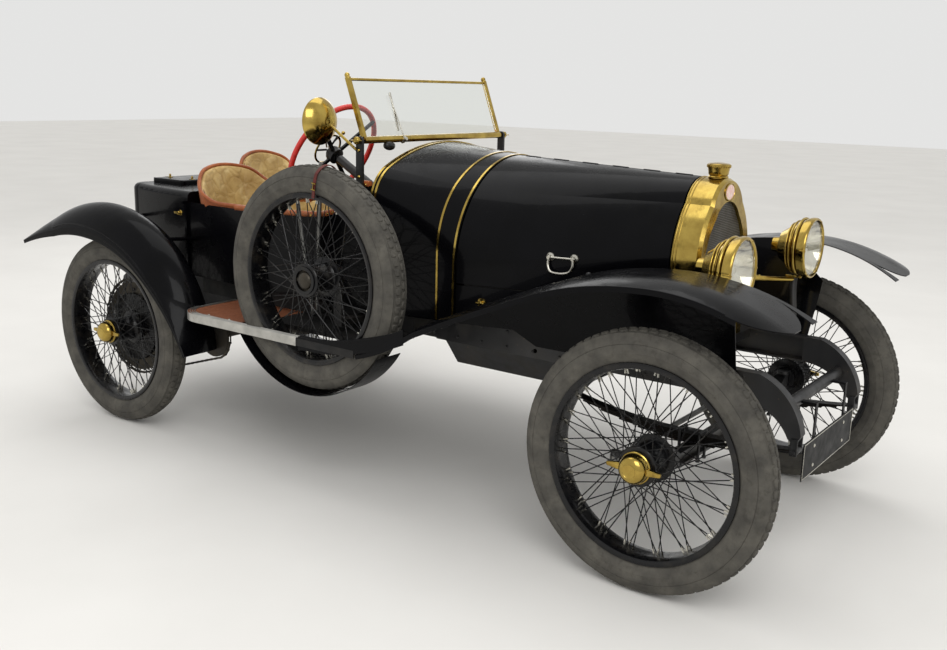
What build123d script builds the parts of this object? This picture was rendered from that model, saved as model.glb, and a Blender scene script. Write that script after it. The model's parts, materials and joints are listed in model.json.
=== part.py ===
"""Open two-seat antique sports car on wire wheels.

Millimetres. +X points forward, +Y to the car's left, +Z up. The origin is on the floor
under the middle of the car's length and width.
"""
import os
from math import cos, hypot, radians, sin, sqrt

from build123d import *

os.makedirs("parts", exist_ok=True)

# Chassis and wheels
wheelbase = 2550.0
track = 1250.0
tyre_radius = 407.5
tyre_section = 105.0
rear_wing_overhang = 570.0
x_front = (wheelbase + rear_wing_overhang - tyre_radius) / 2
x_rear = x_front - wheelbase
y_wheel = track / 2
z_axle = tyre_radius

# Small gaps: pieces that only rest together, running fits and hinge pins
seat_gap = 0.3
running_gap = 0.05
panel_gap = 6.0

# Wire wheel
rim_seat_radius = tyre_radius - tyre_section - 0.8
rim_depth = 9.7
rim_half_width = 43.5
rim_lip_height = 8.5
rim_lip_thickness = 4.0
hub_half_length = 60.0
hub_radius = 50.0
hub_inner_flange_radius = 74.0
hub_outer_flange_radius = 62.0
hub_flange_thickness = 6.0
hub_flange_inset = 8.0
spoke_radius = 2.6
stub_radius = 38.0
bore_radius = stub_radius + running_gap
cap_length = 46.0
cap_radius = 47.0
drum_radius = 150.0
drum_width = 46.0

# Chain drive to the rear wheels
chain_y = 545.0
chain_width = 16.0
chain_rise = 9.0
chain_depth = 4.0
rear_chain_radius = 208.0
front_chain_radius = 95.0
sprocket_clearance = 9.0
sprocket_thickness = 8.0
countershaft_behind = 2030.0
countershaft_z = 450.0
countershaft_radius = 22.0

# Steering
kingpin_y = 530.0
kingpin_radius = 13.0
kingpin_boss_radius = 21.0
kingpin_boss_height = 46.0
yoke_thickness = 14.0
steering_arm_length = 150.0
track_rod_radius = 10.0
steering_wheel_radius = 214.0
steering_rim_radius = 11.0
steering_wheel_y = -228.0
steering_wheel_z = 1206.0
steering_wheel_behind = 1646.0
column_tilt = 61.0
column_radius = 18.0

# Frame
rail_y = 290.0
rail_width = 40.0
rail_height = 90.0
rail_top = 650.0
rail_wall = 6.0
rail_bottom = rail_top - rail_height
rail_inner = rail_y - rail_width / 2
rail_outer = rail_y + rail_width / 2
rail_front_behind = -210.0
rail_rear_behind = 2830.0
front_lashing_behind = 600.0
rear_lashing_behind = 1880.0
lashing_hole_z = 583.0
lashing_hole_radius = 8.25
jack_pad_behind = 1250.0
jack_pad_half = 45.0
jack_pad_depth = 6.0
dumb_iron_ahead = 333.0
dumb_iron_z = 470.0
rear_iron_behind = 2960.0
rear_iron_z = 520.0
cross_tube_radius = 20.0
spring_width = rail_width
spring_thickness = 34.0
front_spring_rear_behind = 470.0
rear_spring_front_behind = 2100.0

# Body stations, each measured back from the front axle
radiator_front_behind = 57.0
radiator_depth = 100.0
radiator_back_behind = radiator_front_behind + radiator_depth
bonnet_front_behind = radiator_back_behind + panel_gap
bonnet_rear_behind = 897.0
band_width = 75.0
scuttle_rear_behind = 1255.0
screen_behind = 1297.0
driver_back_behind = 2305.0
passenger_back_behind = 2510.0
tail_rear_behind = 2845.0
bonnet_sill_z = 790.0
sheet = 4.0
wall = 16.0
body_low = rail_top
cockpit_side_z = 968.0
deck_z = 1011.0

# Brake and gear levers, outside the body on the right
lever_behind = 1505.0
lever_shaft_z = 612.0

# Wings and running boards
wing_sheet = 3.0
wing_outer_y = 731.0
front_wing_inner_y = 460.0
rear_wing_inner_y = 555.0
board_outer_y = wing_outer_y
board_inner_y = 400.0
board_z = 583.0
board_thickness = 16.0

# Lamps, screen and spare wheel
lamp_y = 323.0
lamp_z = 958.0
lamp_radius = 105.0
lamp_ahead = 127.0
lamp_depth = 128.0
screen_y = 451.0
screen_hinge_z = 1281.0
screen_height = 223.0
screen_rake = 20.4
spare_behind = 1320.0
spare_y = -663.0
spare_z = 796.0
well_gap = 12.0


def at(behind):
    """X of a station given by its distance behind the front axle."""
    return x_front - behind


def shifted(points, distance):
    """Points of a curve moved sideways by a distance, each at right angles to its neighbours."""
    moved = []
    last = len(points) - 1
    for index, (x, z) in enumerate(points):
        before = points[max(index - 1, 0)]
        after = points[min(index + 1, last)]
        length = hypot(after[0] - before[0], after[1] - before[1])
        across = ((after[1] - before[1]) / length, -(after[0] - before[0]) / length)
        moved.append((x + across[0] * distance, z + across[1] * distance))
    return moved


def save(piece, name):
    """Labels a finished piece and writes its STEP file."""
    piece.part.label = name
    export_step(piece.part, f"parts/{name}.step")


# Sections across the bonnet and scuttle: station behind the front axle, half width,
# height where the side ends, a point on the shoulder, the shoulder's end and the top
section_low = 560.0
nose_section = (bonnet_front_behind, 205, 905, 187, 1030, 125, 1124, 1206)
bonnet_rear_section = (bonnet_rear_behind, 384, 850, 355, 997, 272, 1121.5, 1234)
scuttle_rear_section = (scuttle_rear_behind, 440, 1040, 424, 1124, 366, 1183, 1268)


def body_outline(section, inset=0.0, station=None):
    """Draws one closed section of the bonnet or scuttle as a sketch."""
    behind, half, side_z, arc_y, arc_z, knee_y, knee_z, top = section
    right = [(half, section_low), (half, side_z), (arc_y, arc_z), (knee_y, knee_z)]
    left = [(-y, z) for y, z in reversed(right)]
    points = shifted(right + [(0, top)] + left, -inset)
    with BuildSketch(Plane.YZ.offset(at(behind if station is None else station))) as outline:
        with BuildLine():
            Line(points[0], points[1])
            ThreePointArc(*points[1:4])
            ThreePointArc(*points[3:6])
            ThreePointArc(*points[5:8])
            Line(points[7], points[8])
            Line(points[8], points[0])
        make_face()
    return outline.sketch


def blend_section(first, second, behind):
    """Section at a station between two others."""
    share = (behind - first[0]) / (second[0] - first[0])
    return tuple(a + (b - a) * share for a, b in zip(first, second))


def lofted_shell(front, rear, thickness):
    """Hollow skin between two sections, open at both ends and below."""
    outside = [body_outline(front), body_outline(rear)]
    inside = [body_outline(front, inset=thickness), body_outline(rear, inset=thickness)]
    with BuildPart() as skin:
        loft(outside)
        loft(inside, mode=Mode.SUBTRACT)
    return skin


def box_between(low, high, mode=Mode.ADD):
    """Box from its low corner to its high corner."""
    size = [b - a for a, b in zip(low, high)]
    middle = [(a + b) / 2 for a, b in zip(low, high)]
    with Locations(tuple(middle)):
        Box(*size, mode=mode)


def rod_between(start, end, radius, mode=Mode.ADD):
    """Round bar between two points."""
    run = Vector(*end) - Vector(*start)
    with Locations(Plane(origin=start, z_dir=run)):
        Cylinder(radius, run.length, align=(Align.CENTER, Align.CENTER, Align.MIN), mode=mode)


# Wire wheel, made once with its axle along Z and its outer face up
def spoke(hub_radius_at, hub_height, rim_height, lead):
    """One spoke from a hub flange to the rim, leading round the wheel by an angle."""
    reach = rim_seat_radius - rim_depth + 2
    start = (hub_radius_at, 0, hub_height)
    end = (reach * cos(radians(lead)), reach * sin(radians(lead)), rim_height)
    run = Vector(*end) - Vector(*start)
    with BuildPart() as wire:
        with BuildSketch(Plane(origin=start, z_dir=run)):
            RegularPolygon(radius=spoke_radius, side_count=4)
        extrude(amount=run.length)
    return wire


outer_flange_height = hub_half_length - hub_flange_inset - hub_flange_thickness / 2
inner_flange_height = -outer_flange_height
rim_inner_radius = rim_seat_radius - rim_depth

# Spoke rows: hub radius, hub height, rim height, lead angle, count
spoke_rows = (
    (hub_outer_flange_radius - 5, outer_flange_height, 10, 42, 10),
    (hub_outer_flange_radius - 5, outer_flange_height, 10, -42, 10),
    (hub_inner_flange_radius - 6, inner_flange_height, -12, 52, 10),
    (hub_inner_flange_radius - 6, inner_flange_height, -12, -52, 10),
)

rim_seat = rim_seat_radius - seat_gap
rim_lip = rim_seat_radius + rim_lip_height
rim_lip_inner = rim_half_width - rim_lip_thickness
flange_near = hub_half_length - hub_flange_inset
flange_far = flange_near - hub_flange_thickness

row_spokes = [spoke(hub, height, rim, lead).part for hub, height, rim, lead, count in spoke_rows]
with BuildPart() as wire_wheel:
    with BuildSketch(Plane.XZ):
        with BuildLine():
            Polyline(
                (rim_inner_radius, -rim_half_width),
                (rim_lip, -rim_half_width),
                (rim_lip, -rim_lip_inner),
                (rim_seat, -rim_lip_inner),
                (rim_seat, rim_lip_inner),
                (rim_lip, rim_lip_inner),
                (rim_lip, rim_half_width),
                (rim_inner_radius, rim_half_width),
                close=True,
            )
        make_face()
        with BuildLine():
            Polyline(
                (bore_radius, -hub_half_length),
                (hub_radius, -hub_half_length),
                (hub_radius, -flange_near),
                (hub_inner_flange_radius, -flange_near),
                (hub_inner_flange_radius, -flange_far),
                (hub_radius, -flange_far),
                (hub_radius, flange_far),
                (hub_outer_flange_radius, flange_far),
                (hub_outer_flange_radius, flange_near),
                (hub_radius, flange_near),
                (hub_radius, hub_half_length),
                (bore_radius, hub_half_length),
                close=True,
            )
        make_face()
    revolve(axis=Axis.Z)
    for row_spoke, row in zip(row_spokes, spoke_rows):
        with PolarLocations(0, row[4], start_angle=row[3]):
            add(row_spoke)

drum_top = -hub_half_length + 6
with BuildPart() as driven_wheel:
    add(wire_wheel.part)
    with BuildSketch(Plane.XZ):
        with BuildLine():
            Polyline(
                (hub_radius - 4, drum_top - 8),
                (drum_radius, drum_top - 8),
                (drum_radius, drum_top - drum_width),
                (drum_radius - 7, drum_top - drum_width),
                (drum_radius - 7, drum_top - 15),
                (hub_radius - 4, drum_top - 15),
                close=True,
            )
        make_face()
    revolve(axis=Axis.Z)
    with BuildSketch(Plane.XY.offset(drum_top - 15)):
        Circle(hub_radius)
        Circle(bore_radius, mode=Mode.SUBTRACT)
    extrude(amount=15)
    with BuildSketch(Plane.XY.offset(chain_y - y_wheel - sprocket_thickness / 2)):
        Circle(rear_chain_radius - sprocket_clearance)
        Circle(drum_radius - 7, mode=Mode.SUBTRACT)
        with PolarLocations((rear_chain_radius + drum_radius) / 2 - 4, 8):
            Circle(13, mode=Mode.SUBTRACT)
    extrude(amount=sprocket_thickness)

tyre_bead = 31.0
tyre_shoulder = 36.0
tyre_shoulder_drop = 14.0
with BuildPart() as tyre:
    with BuildSketch(Plane.XZ):
        with BuildLine():
            Line((rim_seat_radius, -tyre_bead), (rim_seat_radius, tyre_bead))
            ThreePointArc(
                (rim_seat_radius, tyre_bead),
                (tyre_radius - tyre_section / 2 - 4, tyre_section / 2),
                (tyre_radius - tyre_shoulder_drop, tyre_shoulder),
            )
            ThreePointArc(
                (tyre_radius - tyre_shoulder_drop, tyre_shoulder),
                (tyre_radius, 0),
                (tyre_radius - tyre_shoulder_drop, -tyre_shoulder),
            )
            ThreePointArc(
                (tyre_radius - tyre_shoulder_drop, -tyre_shoulder),
                (tyre_radius - tyre_section / 2 - 4, -tyre_section / 2),
                (rim_seat_radius, -tyre_bead),
            )
        make_face()
    revolve(axis=Axis.Z)

cap_ear_span = 176.0
with BuildPart() as hub_cap:
    with BuildSketch(Plane.XZ):
        with BuildLine():
            Line((0, hub_half_length), (hub_radius, hub_half_length))
            Line((hub_radius, hub_half_length), (hub_radius, hub_half_length + 8))
            Line((hub_radius, hub_half_length + 8), (cap_radius, hub_half_length + 10))
            ThreePointArc(
                (cap_radius, hub_half_length + 10),
                (cap_radius - 8, hub_half_length + 32),
                (cap_radius - 24, hub_half_length + cap_length - 3),
            )
            Line((cap_radius - 24, hub_half_length + cap_length - 3), (14, hub_half_length + cap_length))
            Line((14, hub_half_length + cap_length), (0, hub_half_length + cap_length))
            Line((0, hub_half_length + cap_length), (0, hub_half_length))
        make_face()
    revolve(axis=Axis.Z)
    with Locations((0, 0, hub_half_length + 22)):
        Box(cap_ear_span, 14, 16)

# Wheel places: name, x, y, turn about X that points the outer face outwards
wheel_places = (
    ("front_left", x_front, y_wheel, -90),
    ("front_right", x_front, -y_wheel, 90),
    ("rear_left", x_rear, y_wheel, -90),
    ("rear_right", x_rear, -y_wheel, 90),
)
for place, wheel_x, wheel_y, turn in wheel_places:
    spot = Location((wheel_x, wheel_y, z_axle), (turn, 0, 0))
    with BuildPart() as wheel:
        with Locations(spot):
            add(driven_wheel.part if place.startswith("rear") else wire_wheel.part)
    save(wheel, f"wheel_{place}")
    with BuildPart() as placed_tyre:
        with Locations(spot):
            add(tyre.part)
    save(placed_tyre, f"tyre_{place}")
    with BuildPart() as placed_cap:
        with Locations(spot):
            add(hub_cap.part)
    save(placed_cap, f"hub_cap_{place}")

spare_spot = Location((at(spare_behind), spare_y, spare_z), (90, 0, 0))
with BuildPart() as spare_wheel:
    with Locations(spare_spot):
        add(wire_wheel.part)
save(spare_wheel, "spare_wheel")
with BuildPart() as spare_tyre:
    with Locations(spare_spot):
        add(tyre.part)
save(spare_tyre, "spare_tyre")


# Front axle: dropped beam between two kingpin bosses
beam_z = z_axle - 52.0
beam_height = 50.0
beam_width = 40.0
beam_flat_y = kingpin_y - 110.0
beam_neck_y = kingpin_y - kingpin_boss_radius - 6.0
with BuildPart() as front_axle:
    with BuildSketch(Plane.YZ.offset(x_front - beam_width / 2)):
        with BuildLine():
            Polyline(
                (-kingpin_y, z_axle - kingpin_boss_height / 2),
                (-beam_neck_y, z_axle - kingpin_boss_height / 2),
                (-beam_flat_y, beam_z - beam_height / 2),
                (beam_flat_y, beam_z - beam_height / 2),
                (beam_neck_y, z_axle - kingpin_boss_height / 2),
                (kingpin_y, z_axle - kingpin_boss_height / 2),
                (kingpin_y, z_axle + kingpin_boss_height / 2),
                (beam_neck_y, z_axle + kingpin_boss_height / 2),
                (beam_flat_y, beam_z + beam_height / 2),
                (-beam_flat_y, beam_z + beam_height / 2),
                (-beam_neck_y, z_axle + kingpin_boss_height / 2),
                (-kingpin_y, z_axle + kingpin_boss_height / 2),
                close=True,
            )
        make_face()
    extrude(amount=beam_width)
    beam_pocket = (beam_width - 12.0) / 2
    for side in (-1, 1):
        box_between(
            (x_front + side * 6.0 - (beam_pocket if side < 0 else 0), -beam_flat_y, beam_z - 16),
            (x_front + side * 6.0 + (beam_pocket if side > 0 else 0), beam_flat_y, beam_z + 16),
            mode=Mode.SUBTRACT,
        )
    with BuildSketch(Plane.XY.offset(z_axle - kingpin_boss_height / 2)):
        with Locations((x_front, -kingpin_y), (x_front, kingpin_y)):
            Circle(kingpin_boss_radius)
    extrude(amount=kingpin_boss_height)
    with BuildSketch(Plane.XY.offset(z_axle - kingpin_boss_height)):
        with Locations((x_front, -kingpin_y), (x_front, kingpin_y)):
            Circle(kingpin_radius + running_gap)
    extrude(amount=2 * kingpin_boss_height, mode=Mode.SUBTRACT)
save(front_axle, "front_axle")


def knuckle(side):
    """Yoke round the axle's boss, with its kingpin, stub axle and steering arm."""
    yoke_low = z_axle - kingpin_boss_height / 2 - seat_gap
    yoke_high = z_axle + kingpin_boss_height / 2 + seat_gap
    web_y = kingpin_y + kingpin_boss_radius + 3
    flange_y = y_wheel - hub_half_length - 1
    with BuildPart() as piece:
        for plate_low in (yoke_low - yoke_thickness, yoke_high):
            with BuildSketch(Plane.XY.offset(plate_low)):
                with Locations((x_front, side * kingpin_y)):
                    Circle(kingpin_boss_radius)
                with Locations((x_front, side * (kingpin_y + flange_y) / 2)):
                    Rectangle(2 * kingpin_boss_radius, flange_y - kingpin_y)
            extrude(amount=yoke_thickness)
        box_between(
            (x_front - kingpin_boss_radius, min(side * web_y, side * flange_y), yoke_low - yoke_thickness),
            (x_front + kingpin_boss_radius, max(side * web_y, side * flange_y), yoke_high + yoke_thickness),
        )
        rod_between(
            (x_front, side * kingpin_y, yoke_low - yoke_thickness),
            (x_front, side * kingpin_y, yoke_high + yoke_thickness),
            kingpin_radius,
        )
        rod_between(
            (x_front, side * (flange_y - 4), z_axle),
            (x_front, side * (y_wheel + hub_half_length - 2), z_axle),
            stub_radius,
        )
        arm_low = yoke_low - yoke_thickness
        box_between(
            (x_front - steering_arm_length, side * kingpin_y - 12, arm_low - 2),
            (x_front, side * kingpin_y + 12, arm_low + 12),
        )
        with BuildSketch(Plane.XY.offset(arm_low - 2)):
            with Locations((x_front - steering_arm_length, side * kingpin_y)):
                Circle(15)
        extrude(amount=14)
        rod_between(
            (x_front - steering_arm_length, side * kingpin_y, arm_low - 28),
            (x_front - steering_arm_length, side * kingpin_y, arm_low),
            7,
        )
    return piece


for side, side_name in ((1, "left"), (-1, "right")):
    save(knuckle(side), f"knuckle_{side_name}")

# Track rod: tube with an eye round each steering arm's ball pin
rod_eye_low = z_axle - kingpin_boss_height / 2 - seat_gap - yoke_thickness - 26
with BuildPart() as track_rod:
    rod_between(
        (x_front - steering_arm_length, -kingpin_y + 10, rod_eye_low + 11),
        (x_front - steering_arm_length, kingpin_y - 10, rod_eye_low + 11),
        track_rod_radius,
    )
    with BuildSketch(Plane.XY.offset(rod_eye_low)):
        with Locations(
            (x_front - steering_arm_length, -kingpin_y),
            (x_front - steering_arm_length, kingpin_y),
        ):
            Circle(16)
    extrude(amount=22)
    with BuildSketch(Plane.XY.offset(rod_eye_low - 5)):
        with Locations(
            (x_front - steering_arm_length, -kingpin_y),
            (x_front - steering_arm_length, kingpin_y),
        ):
            Circle(7 + running_gap)
    extrude(amount=40, mode=Mode.SUBTRACT)
save(track_rod, "track_rod")


# Frame: two channel rails with dumb irons, and the members that join them
def rail(side):
    """Channel rail with a curved iron at each end for the springs' eyes."""
    with BuildPart() as piece:
        with BuildSketch(Plane.XZ.offset(-side * rail_y + rail_width / 2)):
            with BuildLine():
                top = rail_top
                low = rail_bottom
                Line((at(rail_rear_behind), top), (at(rail_front_behind), top))
                ThreePointArc(
                    (at(rail_front_behind), top),
                    (x_front + dumb_iron_ahead - 32, (top + dumb_iron_z) / 2 + 30),
                    (x_front + dumb_iron_ahead + 20, dumb_iron_z + 10),
                )
                Line(
                    (x_front + dumb_iron_ahead + 20, dumb_iron_z + 10),
                    (x_front + dumb_iron_ahead + 2, dumb_iron_z - 22),
                )
                Line(
                    (x_front + dumb_iron_ahead + 2, dumb_iron_z - 22),
                    (x_front + dumb_iron_ahead - 20, dumb_iron_z - 5),
                )
                ThreePointArc(
                    (x_front + dumb_iron_ahead - 20, dumb_iron_z - 5),
                    (x_front + dumb_iron_ahead - 80, (low + dumb_iron_z) / 2 + 18),
                    (at(rail_front_behind) - 60, low),
                )
                Line((at(rail_front_behind) - 60, low), (at(rail_rear_behind) + 60, low))
                Line((at(rail_rear_behind) + 60, low), (at(rear_iron_behind) + 20, rear_iron_z - 12))
                Line((at(rear_iron_behind) + 20, rear_iron_z - 12), (at(rear_iron_behind) - 14, rear_iron_z))
                Line((at(rear_iron_behind) - 14, rear_iron_z), (at(rear_iron_behind) - 6, rear_iron_z + 30))
                Line((at(rear_iron_behind) - 6, rear_iron_z + 30), (at(rail_rear_behind), top))
            make_face()
        extrude(amount=-rail_width)
        pocket_inner = -side * (rail_y - rail_width / 2)
        with BuildSketch(Plane.XZ.offset(pocket_inner)):
            with Locations(((at(rail_front_behind) + at(rail_rear_behind)) / 2, rail_top - rail_height / 2)):
                Rectangle(rail_rear_behind - rail_front_behind - 120, rail_height - 2 * rail_wall)
        extrude(amount=-side * (rail_width - rail_wall), mode=Mode.SUBTRACT)
        box_between(
            (at(jack_pad_behind) - jack_pad_half, min(side * rail_inner, side * rail_outer), rail_bottom - jack_pad_depth),
            (at(jack_pad_behind) + jack_pad_half, max(side * rail_inner, side * rail_outer), rail_bottom + 1),
        )
        rod_between(
            (at(front_lashing_behind), side * (rail_y + rail_width), lashing_hole_z),
            (at(front_lashing_behind), side * rail_y, lashing_hole_z),
            lashing_hole_radius,
            mode=Mode.SUBTRACT,
        )
        rod_between(
            (at(rear_lashing_behind), side * rail_y, rail_bottom - 1),
            (at(rear_lashing_behind), side * rail_y, rail_bottom + rail_wall + 1),
            lashing_hole_radius,
            mode=Mode.SUBTRACT,
        )
    return piece


with BuildPart() as frame_rails:
    add(rail(1).part)
    add(rail(-1).part)
save(frame_rails, "frame_rails")

# Spare wheel's carrier: an arm and a post from the right rail, with a stub into the hub
carrier_y = 550.0
carrier_thickness = 16.0
carrier_half = 20.0
carrier_low = 600.0
carrier_arm = 24.0
with BuildPart() as spare_carrier:
    box_between(
        (at(spare_behind) - carrier_half, -carrier_y, carrier_low),
        (at(spare_behind) + carrier_half, -rail_outer - seat_gap, carrier_low + carrier_arm),
    )
    box_between(
        (at(spare_behind) - carrier_half, -carrier_y, carrier_low),
        (at(spare_behind) + carrier_half, -carrier_y + carrier_thickness, spare_z + 30),
    )
    rod_between(
        (at(spare_behind), -carrier_y + 2, spare_z),
        (at(spare_behind), spare_y + hub_half_length - 46, spare_z),
        stub_radius - seat_gap,
    )
save(spare_carrier, "spare_carrier")

# Cross members: station behind the front axle, height of the centre and radius
cross_members = (
    (-dumb_iron_ahead + 55, 545, cross_tube_radius),
    (1150, 622, cross_tube_radius),
    (2060, 622, cross_tube_radius),
    (rail_rear_behind - 80, 600, cross_tube_radius),
)
bearer_depth = 60.0
bearer_thickness = 30.0
with BuildPart() as cross_tubes:
    for behind, height, radius in cross_members:
        rod_between((at(behind), -rail_inner, height), (at(behind), rail_inner, height), radius)
    box_between(
        (at(radiator_back_behind) - 10, -rail_inner, rail_top - bearer_thickness),
        (at(radiator_front_behind) + 10, rail_inner, rail_top),
    )
save(cross_tubes, "cross_members")


# Leaf springs with their shackle plates: one solid for each corner
shackle_plate = 5.0
spring_eye_radius = 14.0


def leaf_spring(side, front_eye, seat, rear_eye, plate_tops):
    """Curved spring between two eyes, hung from the rail by plates on both sides."""
    start_y = side * rail_y - spring_width / 2
    half = spring_thickness / 2
    with BuildPart() as piece:
        with BuildSketch(Plane.XZ.offset(-start_y)):
            with BuildLine():
                ThreePointArc(
                    (front_eye[0], front_eye[1] + 7),
                    (seat[0], seat[1] + half),
                    (rear_eye[0], rear_eye[1] + 7),
                )
                Line((rear_eye[0], rear_eye[1] + 7), (rear_eye[0], rear_eye[1] - 7))
                ThreePointArc(
                    (rear_eye[0], rear_eye[1] - 7),
                    (seat[0], seat[1] - half),
                    (front_eye[0], front_eye[1] - 7),
                )
                Line((front_eye[0], front_eye[1] - 7), (front_eye[0], front_eye[1] + 7))
            make_face()
            with Locations(front_eye, rear_eye):
                Circle(spring_eye_radius)
        extrude(amount=-spring_width)
        for eye, plate_top in zip((front_eye, rear_eye), plate_tops):
            for face in (start_y - shackle_plate, start_y + spring_width):
                box_between(
                    (eye[0] - 12, face, eye[1] - 12),
                    (eye[0] + 12, face + shackle_plate, plate_top),
                )
    return piece


front_spring_seat_z = beam_z + beam_height / 2 + spring_thickness / 2 + seat_gap
axle_tube_radius = 42.0
rear_spring_seat_z = z_axle + axle_tube_radius + spring_thickness / 2 + seat_gap
right_springs = []
for front_eye, seat, rear_eye, plate_tops in (
    (
        (x_front + dumb_iron_ahead + 2, dumb_iron_z - 42),
        (x_front, front_spring_seat_z),
        (at(front_spring_rear_behind), dumb_iron_z - 10),
        (dumb_iron_z, rail_top - rail_height + 12),
    ),
    (
        (at(rear_spring_front_behind), rear_iron_z + 4),
        (x_rear, rear_spring_seat_z),
        (at(rear_iron_behind) + 4, rear_iron_z - 24),
        (rail_top - rail_height + 12, rear_iron_z + 16),
    ),
):
    right_springs.append(leaf_spring(-1, front_eye, seat, rear_eye, plate_tops).part)
with BuildPart() as leaf_springs:
    for right_spring in right_springs:
        add(right_spring)
        mirror(right_spring, about=Plane.XZ)
save(leaf_springs, "leaf_springs")

# Rear axle: tube with brake backplates, its stubs in the wheels' hubs
backplate_y = y_wheel - hub_half_length - 32.0
radius_rod_y = 470.0
with BuildPart() as rear_axle:
    rod_between((x_rear, -backplate_y - 15, z_axle), (x_rear, backplate_y + 15, z_axle), axle_tube_radius)
    stub_end = y_wheel + hub_half_length - 2
    rod_between((x_rear, -stub_end, z_axle), (x_rear, stub_end, z_axle), stub_radius)
    for side in (-1, 1):
        rod_between(
            (x_rear, side * radius_rod_y, z_axle),
            (at(countershaft_behind) - countershaft_radius - seat_gap - 1, side * radius_rod_y, countershaft_z),
            12,
        )
        rod_between(
            (x_rear, side * backplate_y, z_axle),
            (x_rear, side * (backplate_y + 5), z_axle),
            drum_radius - 13,
        )
save(rear_axle, "rear_axle")


# Drive chains: one closed loop a side, round the wheel's sprocket and the countershaft's
def chain_loop(offset):
    """Outline of the loop, moved outwards by an offset, in X and Z."""
    front_x = at(countershaft_behind)
    run = hypot(front_x - x_rear, countershaft_z - z_axle)
    along = ((front_x - x_rear) / run, (countershaft_z - z_axle) / run)
    spread = (rear_chain_radius - front_chain_radius) / run
    rise = sqrt(1 - spread ** 2)
    rear_r = rear_chain_radius + offset
    front_r = front_chain_radius + offset
    ends = []
    for sign in (1, -1):
        normal = (along[0] * spread - sign * along[1] * rise, along[1] * spread + sign * along[0] * rise)
        ends.append(((x_rear + normal[0] * rear_r, z_axle + normal[1] * rear_r),
                     (front_x + normal[0] * front_r, countershaft_z + normal[1] * front_r)))
    upper, lower = ends
    rear_back = (x_rear - along[0] * rear_r, z_axle - along[1] * rear_r)
    front_tip = (front_x + along[0] * front_r, countershaft_z + along[1] * front_r)
    with BuildSketch(Plane.XZ.offset(chain_y - chain_width / 2)) as outline:
        with BuildLine():
            Line(upper[0], upper[1])
            ThreePointArc(upper[1], front_tip, lower[1])
            Line(lower[1], lower[0])
            ThreePointArc(lower[0], rear_back, upper[0])
        make_face()
    return outline.sketch


with BuildPart() as right_chain:
    extrude(chain_loop(chain_rise), amount=chain_width)
    extrude(chain_loop(-chain_depth), amount=chain_width, mode=Mode.SUBTRACT)
with BuildPart() as drive_chains:
    add(right_chain.part)
    mirror(right_chain.part, about=Plane.XZ)
save(drive_chains, "drive_chains")

# Engine and gearbox: plain blocks on feet inside the rails' channels
foot_z = rail_top - rail_height + rail_wall
engine_top = 1060.0
with BuildPart() as engine:
    box_between((at(850), -150, 560), (at(250), 150, engine_top))
    for behind in (320, 780):
        box_between((at(behind) - 25, -rail_outer + 14, foot_z), (at(behind) + 25, rail_outer - 14, foot_z + 34))
save(engine, "engine")
with BuildPart() as gearbox:
    box_between((at(1750), -120, 470), (at(1350), 120, 640))
    for behind in (1400, 1700):
        box_between((at(behind) - 25, -rail_outer + 14, foot_z), (at(behind) + 25, rail_outer - 14, foot_z + 30))
    rod_between((at(1350), 0, 580), (at(850.3), 0, 580), 20)
    rod_between((at(1740), 0, 520), (at(1950), 0, 480), 45)
    box_between((at(2120), -100, 385), (at(1940), 100, 520))
    countershaft_x = at(countershaft_behind)
    rod_between((countershaft_x, -chain_y - 8, countershaft_z), (countershaft_x, chain_y + 8, countershaft_z), countershaft_radius)
    for side in (-1, 1):
        rod_between(
            (countershaft_x, side * chain_y - sprocket_thickness / 2, countershaft_z),
            (countershaft_x, side * chain_y + sprocket_thickness / 2, countershaft_z),
            front_chain_radius - chain_depth - seat_gap,
        )
        box_between(
            (countershaft_x - 26, side * rail_y - 6, countershaft_z),
            (countershaft_x + 26, side * rail_y + 6, rail_top - rail_height),
        )
save(gearbox, "gearbox")

# Undertray: sheet trough below the engine, with a shelf on each rail
with BuildPart() as undertray:
    tray_rear = at(1040)
    tray_front = at(500)
    with BuildSketch(Plane.YZ.offset(tray_rear)):
        with BuildLine():
            Polyline(
                (-rail_inner + 3, rail_top - rail_height),
                (-170, 440),
                (170, 440),
                (rail_inner - 3, rail_top - rail_height),
                (rail_outer, rail_top - rail_height),
                (rail_outer, rail_top - rail_height - 4),
                (rail_inner - 5, rail_top - rail_height - 4),
                (173, 436),
                (-173, 436),
                (-rail_inner + 5, rail_top - rail_height - 4),
                (-rail_outer, rail_top - rail_height - 4),
                (-rail_outer, rail_top - rail_height),
                close=True,
            )
        make_face()
    extrude(amount=tray_front - tray_rear)
save(undertray, "undertray")

# Radiator: brass shell round a core, with its filler and a bare badge plate
core_setback = 12.0
front_edge = 12.0
core_section = (radiator_back_behind, 163, 880, 157, 985, 98, 1076, 1130)
with BuildPart() as radiator_shell:
    extrude(body_outline(nose_section, station=radiator_back_behind), amount=radiator_depth - front_edge)
    loft([
        body_outline(nose_section, station=radiator_front_behind + front_edge),
        body_outline(nose_section, inset=8, station=radiator_front_behind),
    ])
    box_between((x_front - 400, -400, 0), (x_front + 400, 400, rail_top), mode=Mode.SUBTRACT)
    extrude(
        body_outline(core_section, station=radiator_back_behind),
        amount=radiator_depth,
        mode=Mode.SUBTRACT,
    )
    with Locations((at(radiator_front_behind + 45), 0, 1190)):
        Cylinder(26, 34, align=(Align.CENTER, Align.CENTER, Align.MIN))
        with Locations((0, 0, 30)):
            Cylinder(33, 26, align=(Align.CENTER, Align.CENTER, Align.MIN))
save(radiator_shell, "radiator_shell")

with BuildPart() as radiator_core:
    extrude(
        body_outline(core_section, station=radiator_back_behind - core_setback),
        amount=radiator_depth - 2 * core_setback,
    )
    box_between((x_front - 400, -400, 0), (x_front + 400, 400, rail_top), mode=Mode.SUBTRACT)
save(radiator_core, "radiator_core")

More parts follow.
